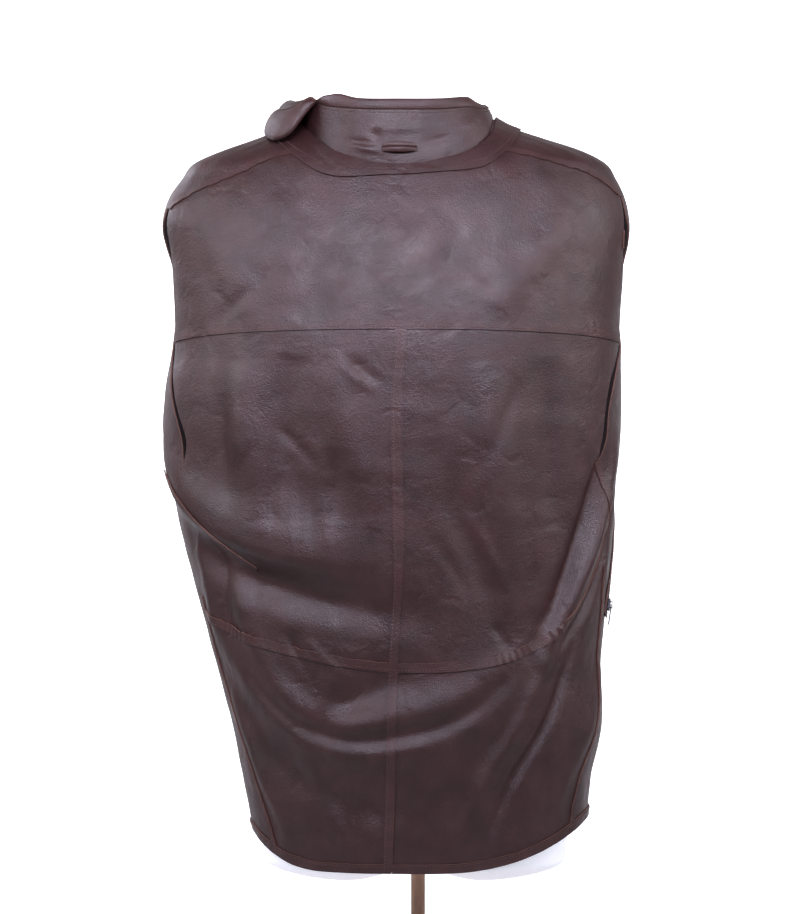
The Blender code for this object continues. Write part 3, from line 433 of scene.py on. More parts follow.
def mesh_piece(name, points, faces, materials, index=None, body=ROOT):
    """Mesh from points and faces, smooth but for edges sharper than an angle, riding on a body."""
    mesh = bpy.data.meshes.new(name)
    mesh.from_pydata(np.asarray(points).reshape(-1, 3).tolist(), [], faces)
    for material in materials:
        mesh.materials.append(material)
    if index is not None:
        mesh.polygons.foreach_set("material_index", np.asarray(index, np.int32))
    mesh.shade_smooth()
    mesh.set_sharp_from_angle(angle=SHARP_EDGE)
    mesh.update()
    piece = bpy.data.objects.new(name, mesh)
    bpy.context.scene.collection.objects.link(piece)
    if body:
        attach(piece, body)
    return piece


def grid_faces(rows, columns, start=0):
    """Quads of a grid of rows by columns points."""
    corner = start + np.arange(rows * columns).reshape(rows, columns)
    return np.stack([corner[:-1, :-1], corner[:-1, 1:], corner[1:, 1:], corner[1:, :-1]], axis=-1).reshape(-1, 4)


def ring_faces(rows, columns):
    """Quads of a grid whose columns close on themselves."""
    corner = np.arange(rows * columns).reshape(rows, columns)
    ahead = np.roll(corner, -1, axis=1)
    return np.stack([corner[:-1], ahead[:-1], ahead[1:], corner[1:]], axis=-1).reshape(-1, 4)


def shell(name, outside, wall, materials):
    """Wall of leather: outside grid, inside = outside - wall x normal, and the cut rim between them."""
    rows, columns = outside.shape[:2]
    normal = grid_normal(outside)
    inside = outside - wall * normal
    flip = np.cross(outside[1, 1] - outside[0, 0], outside[1, 0] - outside[0, 1]) @ normal[0, 0] < 0
    front = grid_faces(rows, columns)
    back = grid_faces(rows, columns, rows * columns)[:, ::-1]
    corner = np.arange(rows * columns).reshape(rows, columns)
    loop = np.concatenate([corner[0], corner[1:, -1], corner[-1, -2::-1], corner[-2:0:-1, 0]])
    after = np.roll(loop, -1)
    rim = np.stack([after, loop, loop + rows * columns, after + rows * columns], axis=-1)
    faces = np.concatenate([front, back, rim])
    if flip:
        faces = faces[:, ::-1]
    index = np.repeat([0, 2, 1], [len(front), len(back), len(rim)])
    return mesh_piece(name, np.concatenate([outside.reshape(-1, 3), inside.reshape(-1, 3)]), faces.tolist(),
                      materials, index)


def cut_size(points):
    """Width, length and area of the flat cut: longest row, longest column, sum of the cells."""
    width = np.linalg.norm(np.diff(points, axis=1), axis=-1).sum(axis=1).max()
    length = np.linalg.norm(np.diff(points, axis=0), axis=-1).sum(axis=0).max()
    cell = np.cross(points[1:, 1:] - points[:-1, :-1], points[1:, :-1] - points[:-1, 1:])
    area = float(np.linalg.norm(cell, axis=-1).sum() / 2)
    fit = max(1.0, area / (width * length * 0.98))
    return (round(float(width * fit), 3), round(float(length), 3)), round(area, 4)


WALL, SEAM_GAP = 1.4 * MM, 0.2 * MM
CUTS, GOES_WITH = {}, {}


def panel(node, points, wall=WALL, materials=(BODY, RAW, SUEDE)):
    """A cut piece of the jacket that stands for its CAD node, with its flat size noted."""
    piece = shell("leather_" + node, points, wall, materials)
    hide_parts(node)
    CUTS[node] = (piece, *cut_size(points))
    GOES_WITH[node] = []
    print(node, "cut", CUTS[node][1], "area", CUTS[node][2])


# %% [markdown]
# ## Back panels
# The back is five pieces: a yoke across the shoulders, two middle panels and two lower ones, either side of
# a centre seam that wanders to the wearer's left as it falls. Each is filled from its seams, row by row.

# %% Middle and lower back
def back_panel(side, node, side_z, outer, low, high, columns):
    """Grid from the centre-back seam to the outer edge, between the low and high seam."""
    share = np.linspace(0, 1, columns)
    rise = ((side_z - side_z[0]) / (side_z[-1] - side_z[0]))[:, None]
    floor, roof = low(share) + SEAM_GAP, high(share) - SEAM_GAP
    z = floor + (roof - floor) * rise
    start = seam_angle(z) + side.sign * SEAM_GAP / ARC_PER_DEGREE
    end = side.sign * (outer - SEAM_GAP / ARC_PER_DEGREE)[:, None]
    panel(node, cloth_point(start + (end - start) * share, z))


YOKE_END = {side.word: float(edge_angle(ARMHOLE_BACK, YOKE_Z - YOKE_END_DROP, side.word))
            for side in (LEFT, RIGHT)}
for side in (LEFT, RIGHT):
    hem_end, waist_end = hem_z(side, SEAM_FOOT), waist_z(side, 1.0)
    low_z = np.linspace(hem_end, waist_end, 92)
    low_angle = edge_angle(SIDE_SEAM, low_z)
    back_panel(side, "back_lower_" + side.word, low_z, low_angle,
               lambda s, side=side, foot=low_angle[0]: hem_z(side, foot * s),
               lambda s, side=side: waist_z(side, s), 92)
    mid_z = np.linspace(waist_end, YOKE_Z - YOKE_END_DROP, 150)
    mid_angle = np.where(mid_z < UNDERARM_Z, edge_angle(SIDE_SEAM, mid_z),
                         edge_angle(ARMHOLE_BACK, mid_z, side.word))
    back_panel(side, "back_" + side.word, mid_z, mid_angle,
               lambda s, side=side: waist_z(side, s),
               lambda s, end=YOKE_END[side.word]: yoke_z(end * s), 104)

# %% [markdown]
# The yoke ends above in three edges: a shoulder seam on each side and the neck line between them, which is
# an ellipse in back view.

# %% Yoke
NECK_SIDE_Z, NECK_CORNER_Z, NECK_HALF = 954 * MM, 921 * MM, 95 * MM
NECK_BACK_DROP, NECK_FRONT_DROP, NECK_SHARE = 52 * MM, 104 * MM, 0.40


def neck_line(beta):
    """Ring angle and height of the neck line, z = side height - drop x |cos(beta)|."""
    beta = np.radians(beta)
    z = NECK_SIDE_Z - np.where(np.cos(beta) > 0, NECK_BACK_DROP, NECK_FRONT_DROP) * np.abs(np.cos(beta))
    return angle_of_width(NECK_HALF * np.sin(beta), z, np.cos(beta) < 0), z


def yoke_top(share):
    """Upper edge of the yoke, right tip -1 to left tip +1: neck line in the middle, shoulder seams outside."""
    angles = column(SHOULDER_SEAM, "angle")[::-1]
    out = np.clip((np.abs(share) - NECK_SHARE) / (1 - NECK_SHARE), 0, 1)
    angle = angles[0] + (angles[-1] - angles[0]) * out
    height = np.where(share > 0, smooth(angle, angles, column(SHOULDER_SEAM, "left", MM)[::-1]),
                      smooth(angle, angles, column(SHOULDER_SEAM, "right", MM)[::-1]))
    corner = np.degrees(np.arccos((NECK_SIDE_Z - NECK_CORNER_Z) / NECK_BACK_DROP))
    neck_angle, neck_height = neck_line(np.abs(share) / NECK_SHARE * corner)
    on_neck = np.abs(share) <= NECK_SHARE
    return np.sign(share) * np.where(on_neck, neck_angle, angle), np.where(on_neck, neck_height, height)


yoke_share = np.linspace(-1, 1, 201)
yoke_low = yoke_share * np.where(yoke_share > 0, YOKE_END["left"], YOKE_END["right"])
top_angle, top_z = yoke_top(yoke_share)
rise = np.linspace(0, 1, 84)[:, None]
yoke_height = yoke_z(yoke_low) + SEAM_GAP + (top_z - 2 * SEAM_GAP - yoke_z(yoke_low)) * rise
straight = yoke_low + (top_angle - yoke_low) * rise
edge = np.where(yoke_share > 0, edge_angle(ARMHOLE_BACK, yoke_height, "left"),
                -edge_angle(ARMHOLE_BACK, yoke_height, "right"))
bend = np.abs(yoke_share) ** 8 * np.sin(np.pi * rise) ** 0.3
panel("back_yoke", cloth_point(straight + (edge - straight) * bend, yoke_height))

# %% [markdown]
# ## Front panels
# Each front is one skin from the zip round the side and over the shoulder ridge. The photo shows only its
# side and shoulder, so the front itself is finished plainly.

# %% Fronts
NECK_EDGE_GAP = 0.8 * MM
ZIP_HALF, ZIP_OPEN_HALF, ZIP_STOP_Z, ZIP_TOP_Z = 5 * MM, 45 * MM, 742 * MM, 862 * MM


def neck_width(z, drop):
    """Half width of the panels' neck edge at height z, from the neck ellipse."""
    share = np.clip((NECK_SIDE_Z - z) / drop, 0, 1)
    return (NECK_HALF + NECK_EDGE_GAP) * np.sqrt(1 - share**2)


def zip_half(z):
    """Half distance of the front edges: constant up to the slider, then a power up to the neck."""
    share = np.clip((z - ZIP_STOP_Z - 3 * MM) / (ZIP_TOP_Z - ZIP_STOP_Z - 3 * MM), 0, 1.2)
    return ZIP_HALF + (ZIP_OPEN_HALF - ZIP_HALF) * share**1.3


def front_outer(side, z):
    """Ring angle of the outer edge by height: side seam, armhole, shoulder seam, neck line."""
    tip = column(SHOULDER_SEAM, side.word, MM)
    return np.where(z <= UNDERARM_Z, edge_angle(SIDE_SEAM, z),
           np.where(z < tip[0], edge_angle(ARMHOLE_FRONT, z, side.word),
           np.where(z <= tip[-1], smooth(z, tip, column(SHOULDER_SEAM, "angle")),
                    angle_of_width(neck_width(z, NECK_BACK_DROP), z))))


def front_inner(z):
    """Ring angle of the inner edge: zip edge, then neck line."""
    neck = np.maximum(neck_width(z, NECK_FRONT_DROP), zip_half(z))
    return angle_of_width(np.where(z > ZIP_TOP_Z, neck, zip_half(z)), z, True)


for side in (LEFT, RIGHT):
    hem_end, waist_end = hem_z(side, SEAM_FOOT), waist_z(side, 1.0)
    tip_z = column(SHOULDER_SEAM, side.word, MM)[0]
    outer_z = np.concatenate([np.linspace(hem_end, UNDERARM_Z, 110),
                              np.linspace(UNDERARM_Z, tip_z - 0.5 * MM, 64)[1:],
                              np.linspace(tip_z, NECK_CORNER_Z, 34),
                              np.linspace(NECK_CORNER_Z, 950.5 * MM, 20)[1:]])
    outer_angle = front_outer(side, outer_z) + SEAM_GAP / ARC_PER_DEGREE
    inner_angle = front_inner(outer_z)
    fall = np.clip((waist_end - outer_z) / (waist_end - hem_end), 0, 1)[:, None]
    front_angle = inner_angle[:, None] + (outer_angle - inner_angle)[:, None] * np.linspace(0, 1, 84)
    front_z = outer_z[:, None] + fall * (hem_z(side, front_angle) - hem_z(side, outer_angle)[:, None])
    panel("front_" + side.word, cloth_point(side.sign * front_angle, front_z))

# %% [markdown]
# ## Collar, facing and loop
# The collar stands at the back of the neck and falls outward at the wearer's left. Its top is a band rolled
# to both sides and sewn down; a facing lies flat round the neck and a small loop hangs the jacket up. The
# collar is a ruled surface from the neck line to a rim whose height and lean come from a table.

# %% Collar
Collar = namedtuple("Collar", "angle up out roll edge plump")
COLLAR_ROWS = [
    Collar(-150, 50, 10, 0, 11, 2), Collar(-130, 40, 8, 0, 11, 2), Collar(-112, 24, 3, 0, 10, 2),
    Collar(-90, 12, -9, 2, 8, 2), Collar(-72, 27, -16, 1, 9, 2), Collar(-50, 48, -16, 0, 11, 2),
    Collar(-25, 58, -6, 0, 11, 2), Collar(0, 62, -4, 0, 11, 2), Collar(25, 58, -4, 0, 11, 2),
    Collar(48, 50, -2, 0, 12, 2.4), Collar(55, 41, 5, 8, 14, 3), Collar(60, 23, 16, 25, 17, 3.5),
    Collar(66, 0, 26, 31, 20, 4.5), Collar(72, -12, 31, 31, 21, 5.5), Collar(82, -17, 34, 26, 20, 6),
    Collar(92, -17, 35, 22, 19, 6), Collar(104, -14, 36, 18, 17, 5), Collar(126, -10, 36, 14, 15, 4),
    Collar(150, -4, 34, 12, 13, 2),
]
Dent = namedtuple("Dent", "angle share wide tall height")
COLLAR_DENTS = [Dent(14, 0.40, 3, 0.10, -2.2), Dent(20, 0.16, 8, 0.05, 1.6), Dent(24, 0.26, 9, 0.05, -1.4),
                Dent(-2, 0.52, 14, 0.06, 1.0), Dent(-24, 0.30, 9, 0.08, -1.2), Dent(-46, 0.42, 6, 0.16, 1.5),
                Dent(38, 0.50, 5, 0.20, -1.5)]


def collar_size(name, beta):
    """A named size of the collar at a neck angle."""
    return smooth(beta, column(COLLAR_ROWS, "angle"), column(COLLAR_ROWS, name, MM))


def collar_frame(beta):
    """Foot of the collar on the neck line and the level direction out of it."""
    angle, z = neck_line(beta)
    foot = ring_point(angle, z) + 0.5 * MM * ring_normal(angle, z) + np.array([0, 0, 0.4 * MM])
    ahead, behind = (ring_point(*neck_line(beta + d)) for d in (1.5, -1.5))
    outward = np.cross(np.array([0.0, 0.0, 1.0]), (ahead - behind) * np.array([1, 1, 0]))
    return foot, outward / np.linalg.norm(outward, axis=-1, keepdims=True)


def collar_point(beta, share, lift=0.0):
    """Foot + out x share^1.4 sideways + up x share upward, with a small roll, a wave and dents between."""
    beta, share = np.broadcast_arrays(np.asarray(beta, float), np.asarray(share, float))
    foot, outward = collar_frame(beta)
    up, out, roll = (collar_size(name, beta) for name in ("up", "out", "roll"))
    rise = up * share + roll * 4 * share * (1 - share)
    wave = 0.9 * MM * np.sin(np.radians(beta * 5.0 + 20)) * np.sin(np.pi * share)
    for dent in COLLAR_DENTS:
        wave = wave + dent.height * MM * np.exp(-((beta - dent.angle) / dent.wide) ** 2
                                                - ((share - dent.share) / dent.tall) ** 2)
    shift = out * np.clip(share, 0, None) ** 1.4 + lift + wave
    return foot + shift[..., None] * outward + rise[..., None] * np.array([0.0, 0.0, 1.0])


def roll_share(beta):
    """Share of the height at which the rolled band is sewn on."""
    length = np.hypot(collar_size("up", beta), collar_size("out", beta)) + collar_size("roll", beta)
    return 1 - collar_size("edge", beta) / length


def even_beta(first, last, count):
    """Neck angles at even steps of length along the neck line."""
    fine = np.linspace(first, last, 1441)
    steps = np.linalg.norm(np.diff(ring_point(*neck_line(fine)), axis=0), axis=-1)
    length = np.concatenate([[0], np.cumsum(steps)])
    return np.interp(np.linspace(0, length[-1], count), length, fine)


beta = even_beta(-150, 150, 260)
stand_share = roll_share(beta) * np.linspace(-0.14, 1, 30)[:, None]
panel("collar", collar_point(beta, stand_share), materials=(BODY, RAW, BODY))

# %% [markdown]
# The rolled band is a flattened tube round the rim: an ellipse across it, carried along the neck.

# %% Rolled band
turn = np.linspace(0, 2 * math.pi, 25)[:-1, None]
middle, half = (1 + roll_share(beta)) / 2, (1 - roll_share(beta)) / 2
band_lift = collar_size("plump", beta) * signed_power(np.sin(turn), 0.8) + 0.3 * MM
band = collar_point(beta, middle + half * 1.02 * np.cos(turn), band_lift - 0.6 * MM)
rows, columns = band.shape[:2]
corner = np.arange(rows * columns).reshape(rows, columns)
band_faces = (grid_faces(rows + 1, columns) % (rows * columns)).tolist()
band_faces += [corner[:, 0].tolist(), corner[::-1, -1].tolist()]
edge_piece = mesh_piece("leather_collar_edge", band, band_faces, (BAND,))
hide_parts("collar_edge")
GOES_WITH["collar"].append(edge_piece)

# %% [markdown]
# The facing is found the other way round: places in plan outside the neck line are dropped on the surface by
# halving the height range, so that it lies flat over the shoulder ridge.

# %% Facing
def top_angle_height(x, y):
    """Ring angle and height of the surface above a place in plan, by 40 halvings."""
    low, high = np.full(x.shape, 700 * MM), np.full(x.shape, NECK_SIDE_Z)
    for _ in range(40):
        z = (low + high) / 2
        reach = np.where(y > 0, section("back", z), section("front", z))
        inside = ((np.abs(x - section("centre", z)) / section("half", z)) ** RING_POWER
                  + (np.abs(y) / reach) ** RING_POWER < 1)
        low, high = np.where(inside, z, low), np.where(inside, high, z)
    reach = np.where(y > 0, section("back", z), section("front", z))
    return np.degrees(np.arctan2(signed_power((x - section("centre", z)) / section("half", z), RING_POWER / 2),
                                 signed_power(y / reach, RING_POWER / 2))), z


def facing_place(beta, out):
    """Ring angle and height at a share of the facing's width, which grows with a power of sin(beta)."""
    beta, out = np.broadcast_arrays(np.asarray(beta, float), np.asarray(out, float))
    here = ring_point(*neck_line(beta))
    along = ring_point(*neck_line(beta + 1.5)) - ring_point(*neck_line(beta - 1.5))
    outward = np.stack([-along[..., 1], along[..., 0]], axis=-1)
    outward /= np.linalg.norm(outward, axis=-1, keepdims=True)
    turn = np.abs(np.sin(np.radians(beta)))
    width = (4.2 + np.where(beta > 0, 22.8 * turn**2, 21 * turn**3)) * MM
    place = here[..., :2] + outward * (2.4 * MM + out * width)[..., None]
    return top_angle_height(place[..., 0], place[..., 1])


facing_beta = even_beta(-146, 146, 240)
facing_out = np.linspace(0, 1, 14)[:, None]
panel("neck_facing", cloth_point(*facing_place(facing_beta, facing_out), 2.2 * MM), 1.1 * MM)

# %% [markdown]
# The loop is a short tongue on the outside of the collar's back, arched away from it, with a groove along its
# middle where it is folded.

# %% Hanger loop
LOOP_HALF = 10.5
across = np.linspace(-1, 1, 13)[:, None]
loop_beta = np.linspace(-LOOP_HALF, LOOP_HALF, 49)
loop_arch = 1 - (loop_beta / LOOP_HALF) ** 2
loop_share = 0.215 + 0.02 * loop_arch + across * (0.052 + 0.032 * loop_arch)
loop_lift = 4.6 * MM * loop_arch**0.7 * (1 - 0.25 * across**2) - 1.0 * MM * np.exp(-(across / 0.16) ** 2)
panel("hanger_loop", collar_point(loop_beta, loop_share, 1.2 * MM + loop_lift), 1.1 * MM, (BAND, RAW, SUEDE))

# %% [markdown]
# ## Seam strips
# At each seam the two skins are lapped and the upper one is left raw, so a narrow band with a pale cut edge
# runs along it. A strip is laid beside a curve: each point is moved square to the curve, in true length on
# the surface, and lifted by its own thickness.

# %% Strips along curves
def beside(angle, z, offset):
    """Curve moved sideways by offset metres on the surface, left of its direction."""
    step_a = np.linalg.norm(ring_point(angle + 0.5, z) - ring_point(angle - 0.5, z), axis=-1)
    step_z = np.linalg.norm(ring_point(angle, z + MM) - ring_point(angle, z - MM), axis=-1) / (2 * MM)
    run = np.stack([np.gradient(angle) * step_a, np.gradient(z) * step_z])
    run /= np.hypot(*run)
    return angle - offset * run[1] / step_a, z + offset * run[0] / step_z


def strip(name, owner, angle, z, inner, outer, lift=0.25 * MM, wall=1.2 * MM, wave=0.0, pucker=()):
    """Band beside a curve; wave is the unevenness of its outer edge, pucker rows are place, half length, ripples."""
    s = np.linspace(0, 1, len(angle))
    uneven = wave * (np.sin(s * 61 + 1) + 0.7 * np.sin(s * 143 + 2) + 0.5 * np.sin(s * 29)) / 2.2
    across = [beside(angle, z, inner + (outer + uneven - inner) * share) for share in np.linspace(0, 1, 7)]
    grid_a, grid_z = (np.stack(values) for values in zip(*across))
    puckered = 0 * s
    for place, half, many in pucker:
        puckered = puckered + 0.9 * MM * np.exp(-((s - place) / half) ** 2) * (1 + np.sin(s * many))
    piece = shell(name, cloth_point(grid_a, grid_z, lift + wall + puckered), wall, (BAND, RAW, SUEDE))
    GOES_WITH[owner].append(piece)


def waist_curve(side):
    """Ring angle and height along the waist seam of one side."""
    share = np.linspace(0, 1, 150)
    z = waist_z(side, share)
    start, end = seam_angle(z), side.sign * edge_angle(SIDE_SEAM, waist_z(side, 1.0))
    return start + (end - start) * share, z


def hem_curve(side, margin):
    """Ring angle and height along the hem of one side, centre back to zip, short of both by a margin."""
    start, end = float(np.abs(seam_angle(HEM_Z))) * side.sign, float(front_inner(HEM_Z))
    angle = side.sign * np.linspace(start + margin, end - margin, 420)
    return angle, hem_z(side, angle)


yoke_a = np.linspace(-YOKE_END["right"] + 0.4, YOKE_END["left"] - 0.4, 300)
strip("strip_yoke_seam", "back_yoke", yoke_a, yoke_z(yoke_a), -1.2 * MM, 7.4 * MM, wave=0.35 * MM)
WAIST_PUCKERS = {"left": [(0.72, 0.07, 190)], "right": [(0.40, 0.07, 210), (0.62, 0.04, 170)]}
for side in (LEFT, RIGHT):
    waist_a, waist_h = waist_curve(side)
    strip("strip_waist_" + side.word, "back_" + side.word, waist_a, waist_h,
          -1.2 * MM * side.sign, 8.2 * MM * side.sign, wave=0.8 * MM, pucker=WAIST_PUCKERS[side.word])
centre_z = np.linspace(HEM_Z + 2 * MM, YOKE_Z - 1 * MM, 320)
strip("strip_centre_back", "back_left", seam_angle(centre_z), centre_z, 1.0 * MM, -8.2 * MM, wave=0.25 * MM)

# %% [markdown]
# The shoulder, side and hem edges are lapped in the same way. The left side lap ends low, where the pouch
# covers it; the right one goes up to the armhole.

# %% Laps at the shoulders, sides and hem
SIDE_LAP_TOP = {"left": 478 * MM, "right": UNDERARM_Z - 2 * MM}
for side in (LEFT, RIGHT):
    lap_a, lap_z = yoke_top(side.sign * np.linspace(0.42, 0.995, 160))
    strip("strip_shoulder_" + side.word, "back_yoke", lap_a, lap_z, 5 * MM * side.sign, -3.2 * MM * side.sign,
          lift=0.45 * MM, wave=1.0 * MM)
    seam_z = np.linspace(hem_z(side, SEAM_FOOT) + 2 * MM, SIDE_LAP_TOP[side.word], 220)
    strip("strip_side_" + side.word, "front_" + side.word, side.sign * edge_angle(SIDE_SEAM, seam_z), seam_z,
          -1.5 * MM * side.sign, 4.5 * MM * side.sign, wave=0.6 * MM)
    strip("strip_hem_" + side.word, "back_lower_" + side.word, *hem_curve(side, 0.3), 0.4 * MM * side.sign,
          9.5 * MM * side.sign, wall=1.1 * MM, wave=0.35 * MM)

# %% [markdown]
# Two more raw edges show where the side skin was pulled into the folds: one down the left pouch, one beside
# the tube on the right.

# %% Raw edges in the folds
Lap = namedtuple("Lap", "a0 z0 a1 z1 a2 z2 a3 z3")
FOLD_LAPS = [(LEFT, Lap(80, 602, 62, 566, 52, 538, 40, 504)), (RIGHT, Lap(-77, 576, -69, 505, -60, 466, -43, 438))]
for side, row in FOLD_LAPS:
    strip("strip_fold_" + side.word, "back_" + side.word, *bezier(row, np.linspace(0, 1, 120)),
          -2.5 * MM * side.sign, 2.0 * MM * side.sign, lift=0.5 * MM, wave=0.5 * MM)

# %% [markdown]
# ## Stitches
# A lockstitch shows as short arched bits of thread, 3.4 mm apart. Each is a small tube, thin at both ends,
# set on the surface along a curve; all the stitches of a seam are one array of paths by rings.

# %% Rows of small tubes
BEAD_RINGS, BEAD_SIDES, BEAD_ARCH = 5, 6, 0.7


def follow(at, run, values):
    """Values along a path read at given lengths, one column after another."""
    return np.stack([np.interp(at, run, values[:, k]) for k in range(3)], axis=-1)


def unit(vectors):
    """Vectors at length one."""
    return vectors / (np.linalg.norm(vectors, axis=-1, keepdims=True) + 1e-12)


def bead_row(name, path, normal, material, pitch=3.4 * MM, length=2.4 * MM, radius=0.42 * MM, across=False):
    """Tubes at even steps of a path: radius x sqrt(1 - u^2) along each, arched by the same rule."""
    run = np.concatenate([[0], np.cumsum(np.linalg.norm(np.diff(path, axis=0), axis=-1))])
    centre = (np.arange(int(run[-1] / pitch)) + 0.5) * pitch
    u = np.linspace(-0.97, 0.97, BEAD_RINGS)
    at = centre[:, None] + (0 if across else 1) * u * length / 2
    spine, out = follow(at, run, path), unit(follow(at, run, normal))
    ahead = unit(follow(at + MM, run, path) - follow(at - MM, run, path))
    side = np.cross(ahead, out)
    if across:
        spine, side = spine + side * (u * length / 2)[:, None], -ahead
    round_share = np.sqrt(1 - u**2)[:, None, None]
    phi = np.linspace(0, 2 * math.pi, BEAD_SIDES + 1)[:-1, None]
    ring = (np.cos(phi) * side[:, :, None] + np.sin(phi) * out[:, :, None]) * radius * round_share
    points = spine[:, :, None] + ring + out[:, :, None] * radius * BEAD_ARCH * round_share
    start = (np.arange(len(centre)) * BEAD_RINGS * BEAD_SIDES)[:, None, None]
    quads = (start + ring_faces(BEAD_RINGS, BEAD_SIDES)).reshape(-1, 4).tolist()
    cap = np.arange(BEAD_SIDES)
    first = (start + cap[::-1]).reshape(-1, BEAD_SIDES).tolist()
    last = (start + (BEAD_RINGS - 1) * BEAD_SIDES + cap).reshape(-1, BEAD_SIDES).tolist()
    return mesh_piece(name, points, quads + first + last, (material,))


def sew(name, owner, angle, z, offset, lift=1.15 * MM):
    """Stitches at an offset beside a curve on the leather."""
    a, h = beside(angle, z, offset)
    piece = bead_row("stitch_" + name, cloth_point(a, h, lift), ring_normal(a, h), THREAD)
    GOES_WITH[owner].append(piece)


# %% [markdown]
# The yoke, centre-back, waist and hem seams each get one row of stitches along their strips, the facing one
# near its edge; the collar's rolled band gets two, one on each side of its lower edge. The rows follow the
# same curves as the strips, so that they stay in step with them.

# %% Seams sewn
sew("yoke", "back_yoke", yoke_a, yoke_z(yoke_a), 1.4 * MM)
sew("centre_back", "back_left", seam_angle(centre_z), centre_z, -6.6 * MM)
for side in (LEFT, RIGHT):
    waist_a, waist_h = waist_curve(side)
    sew("waist_" + side.word, "back_" + side.word, waist_a, waist_h, 1.5 * MM * side.sign)
    sew("hem_" + side.word, "back_lower_" + side.word, *hem_curve(side, 0.5), 7.6 * MM * side.sign, 1.35 * MM)
facing_mm = 4.2 + 22 * np.abs(np.sin(np.radians(facing_beta))) ** 2
face_a, face_z = facing_place(facing_beta, 1 - 6.5 / (facing_mm + 6))
facing_sewn = bead_row("stitch_facing", cloth_point(face_a, face_z, 2.2 * MM), ring_normal(face_a, face_z), THREAD)
GOES_WITH["neck_facing"].append(facing_sewn)
sewn_beta = even_beta(-148, 148, 400)
for name, below in (("low", 2.6), ("high", -1.4)):
    share = roll_share(sewn_beta) - below * MM / np.maximum(collar_size("up", sewn_beta), 20 * MM)
    piece = bead_row("stitch_collar_" + name, collar_point(sewn_beta, share, 0.1 * MM if below > 0 else 1.0 * MM),
                     collar_frame(sewn_beta)[1], THREAD)
    GOES_WITH["collar"].append(piece)

# %% [markdown]
# ## Zips
# A zip is two woven tapes with moulded teeth that mesh below the slider and part above it. The tapes lie
# behind the front edges; the pockets have a tape between two lips of leather. Teeth are bead rows across.

# %% Zip tapes and teeth
GUNMETAL = plain("black_nickel_zinc_casting", "#26262a", "#3c3c42", 0.4, 2.0, 0.1, 1.0)
TAPE = plain("woven_polyester_zip_tape", "#1d1819", "#332b2c", 0.85, 0.7, 0.6)
for side in (LEFT, RIGHT):
    tape_z = np.linspace(HEM_Z + 6 * MM, 852 * MM, 240)
    width = zip_half(tape_z)[:, None] + np.linspace(-4.6, 9.0, 7) * MM
    tape_a = side.sign * angle_of_width(width, tape_z[:, None], True)
    panel("zip_tape_" + side.word, cloth_point(tape_a, tape_z[:, None], -2.1 * MM), 1.0 * MM, (TAPE, TAPE, TAPE))
    tooth_a = side.sign * angle_of_width(zip_half(tape_z) - 4.0 * MM, tape_z, True)
    teeth = bead_row("teeth_front_" + side.word, cloth_point(tooth_a, tape_z, -2.3 * MM),
                     ring_normal(tooth_a, tape_z), GUNMETAL, 2.4 * MM, 3.2 * MM, 0.75 * MM, across=True)
    GOES_WITH["zip_tape_" + side.word].append(teeth)

# %% [markdown]
# A pocket zip is a straight line between two named places on each side, with its tape in the middle and a lip
# of leather, stitched, along each edge.

# %% Pocket zips
Pocket = namedtuple("Pocket", "side end end_z top top_z")
for pocket in (Pocket(LEFT, 104, 470, 122, 592), Pocket(RIGHT, 82, 458, 101, 580)):
    word, sign, t = pocket.side.word, pocket.side.sign, np.linspace(0, 1, 100)
    zip_a = sign * (pocket.end + (pocket.top - pocket.end) * t)
    zip_z = (pocket.end_z + (pocket.top_z - pocket.end_z) * t) * MM
    across = [beside(zip_a, zip_z, offset * MM) for offset in np.linspace(-6, 6, 7)]
    tape_a, tape_z = (np.stack(values) for values in zip(*across))
    panel("pocket_zip_" + word, cloth_point(tape_a, tape_z, 1.3 * MM), 0.9 * MM, (TAPE, TAPE, TAPE))
    teeth = bead_row("teeth_pocket_" + word, cloth_point(zip_a, zip_z, 1.0 * MM), ring_normal(zip_a, zip_z),
                     GUNMETAL, 2.2 * MM, 4.6 * MM, 0.7 * MM, across=True)
    GOES_WITH["pocket_zip_" + word].append(teeth)
    for lip, turn_sign in (("fore", 1), ("aft", -1)):
        strip(f"lip_{lip}_{word}", "pocket_zip_" + word, zip_a, zip_z, 4.6 * MM * turn_sign, 10.5 * MM * turn_sign,
              lift=0.9 * MM, wall=1.0 * MM)
        sew(f"lip_{lip}_{word}", "pocket_zip_" + word, zip_a, zip_z, 8.6 * MM * turn_sign, 1.9 * MM)

# %% [markdown]
# ## The torso and its stand
# The torso is a padded-looking white display form: rings again, with two rounded lobes under it. The photo
# burns its cover out to near white, so the cover gives off a little light of its own.

# %% Torso form
FormRing = namedtuple("FormRing", "z half back front")
FORM_RINGS = [
    FormRing(216, 150, 76, 88), FormRing(290, 158, 84, 92), FormRing(380, 160, 87, 92), FormRing(460, 158, 85, 92),
    FormRing(540, 164, 88, 96), FormRing(620, 176, 96, 103), FormRing(700, 185, 101, 104), FormRing(770, 190, 97, 96),
    FormRing(830, 194, 88, 80), FormRing(870, 196, 78, 67), FormRing(893, 194, 69, 57), FormRing(906, 186, 62, 48),
    FormRing(917.8, 177, 56, 43), FormRing(929.8, 143, 50, 37), FormRing(941.8, 108, 48, 35),
    FormRing(948.5, 80, 50, 39), FormRing(955, 64, 50, 42),
]
FORM_LEAN, LOBE_DROP, GROOVE, GROOVE_HALF, NECK_RISE = (3, 17.8), 26 * MM, 0.75, 42 * MM, 5 * MM


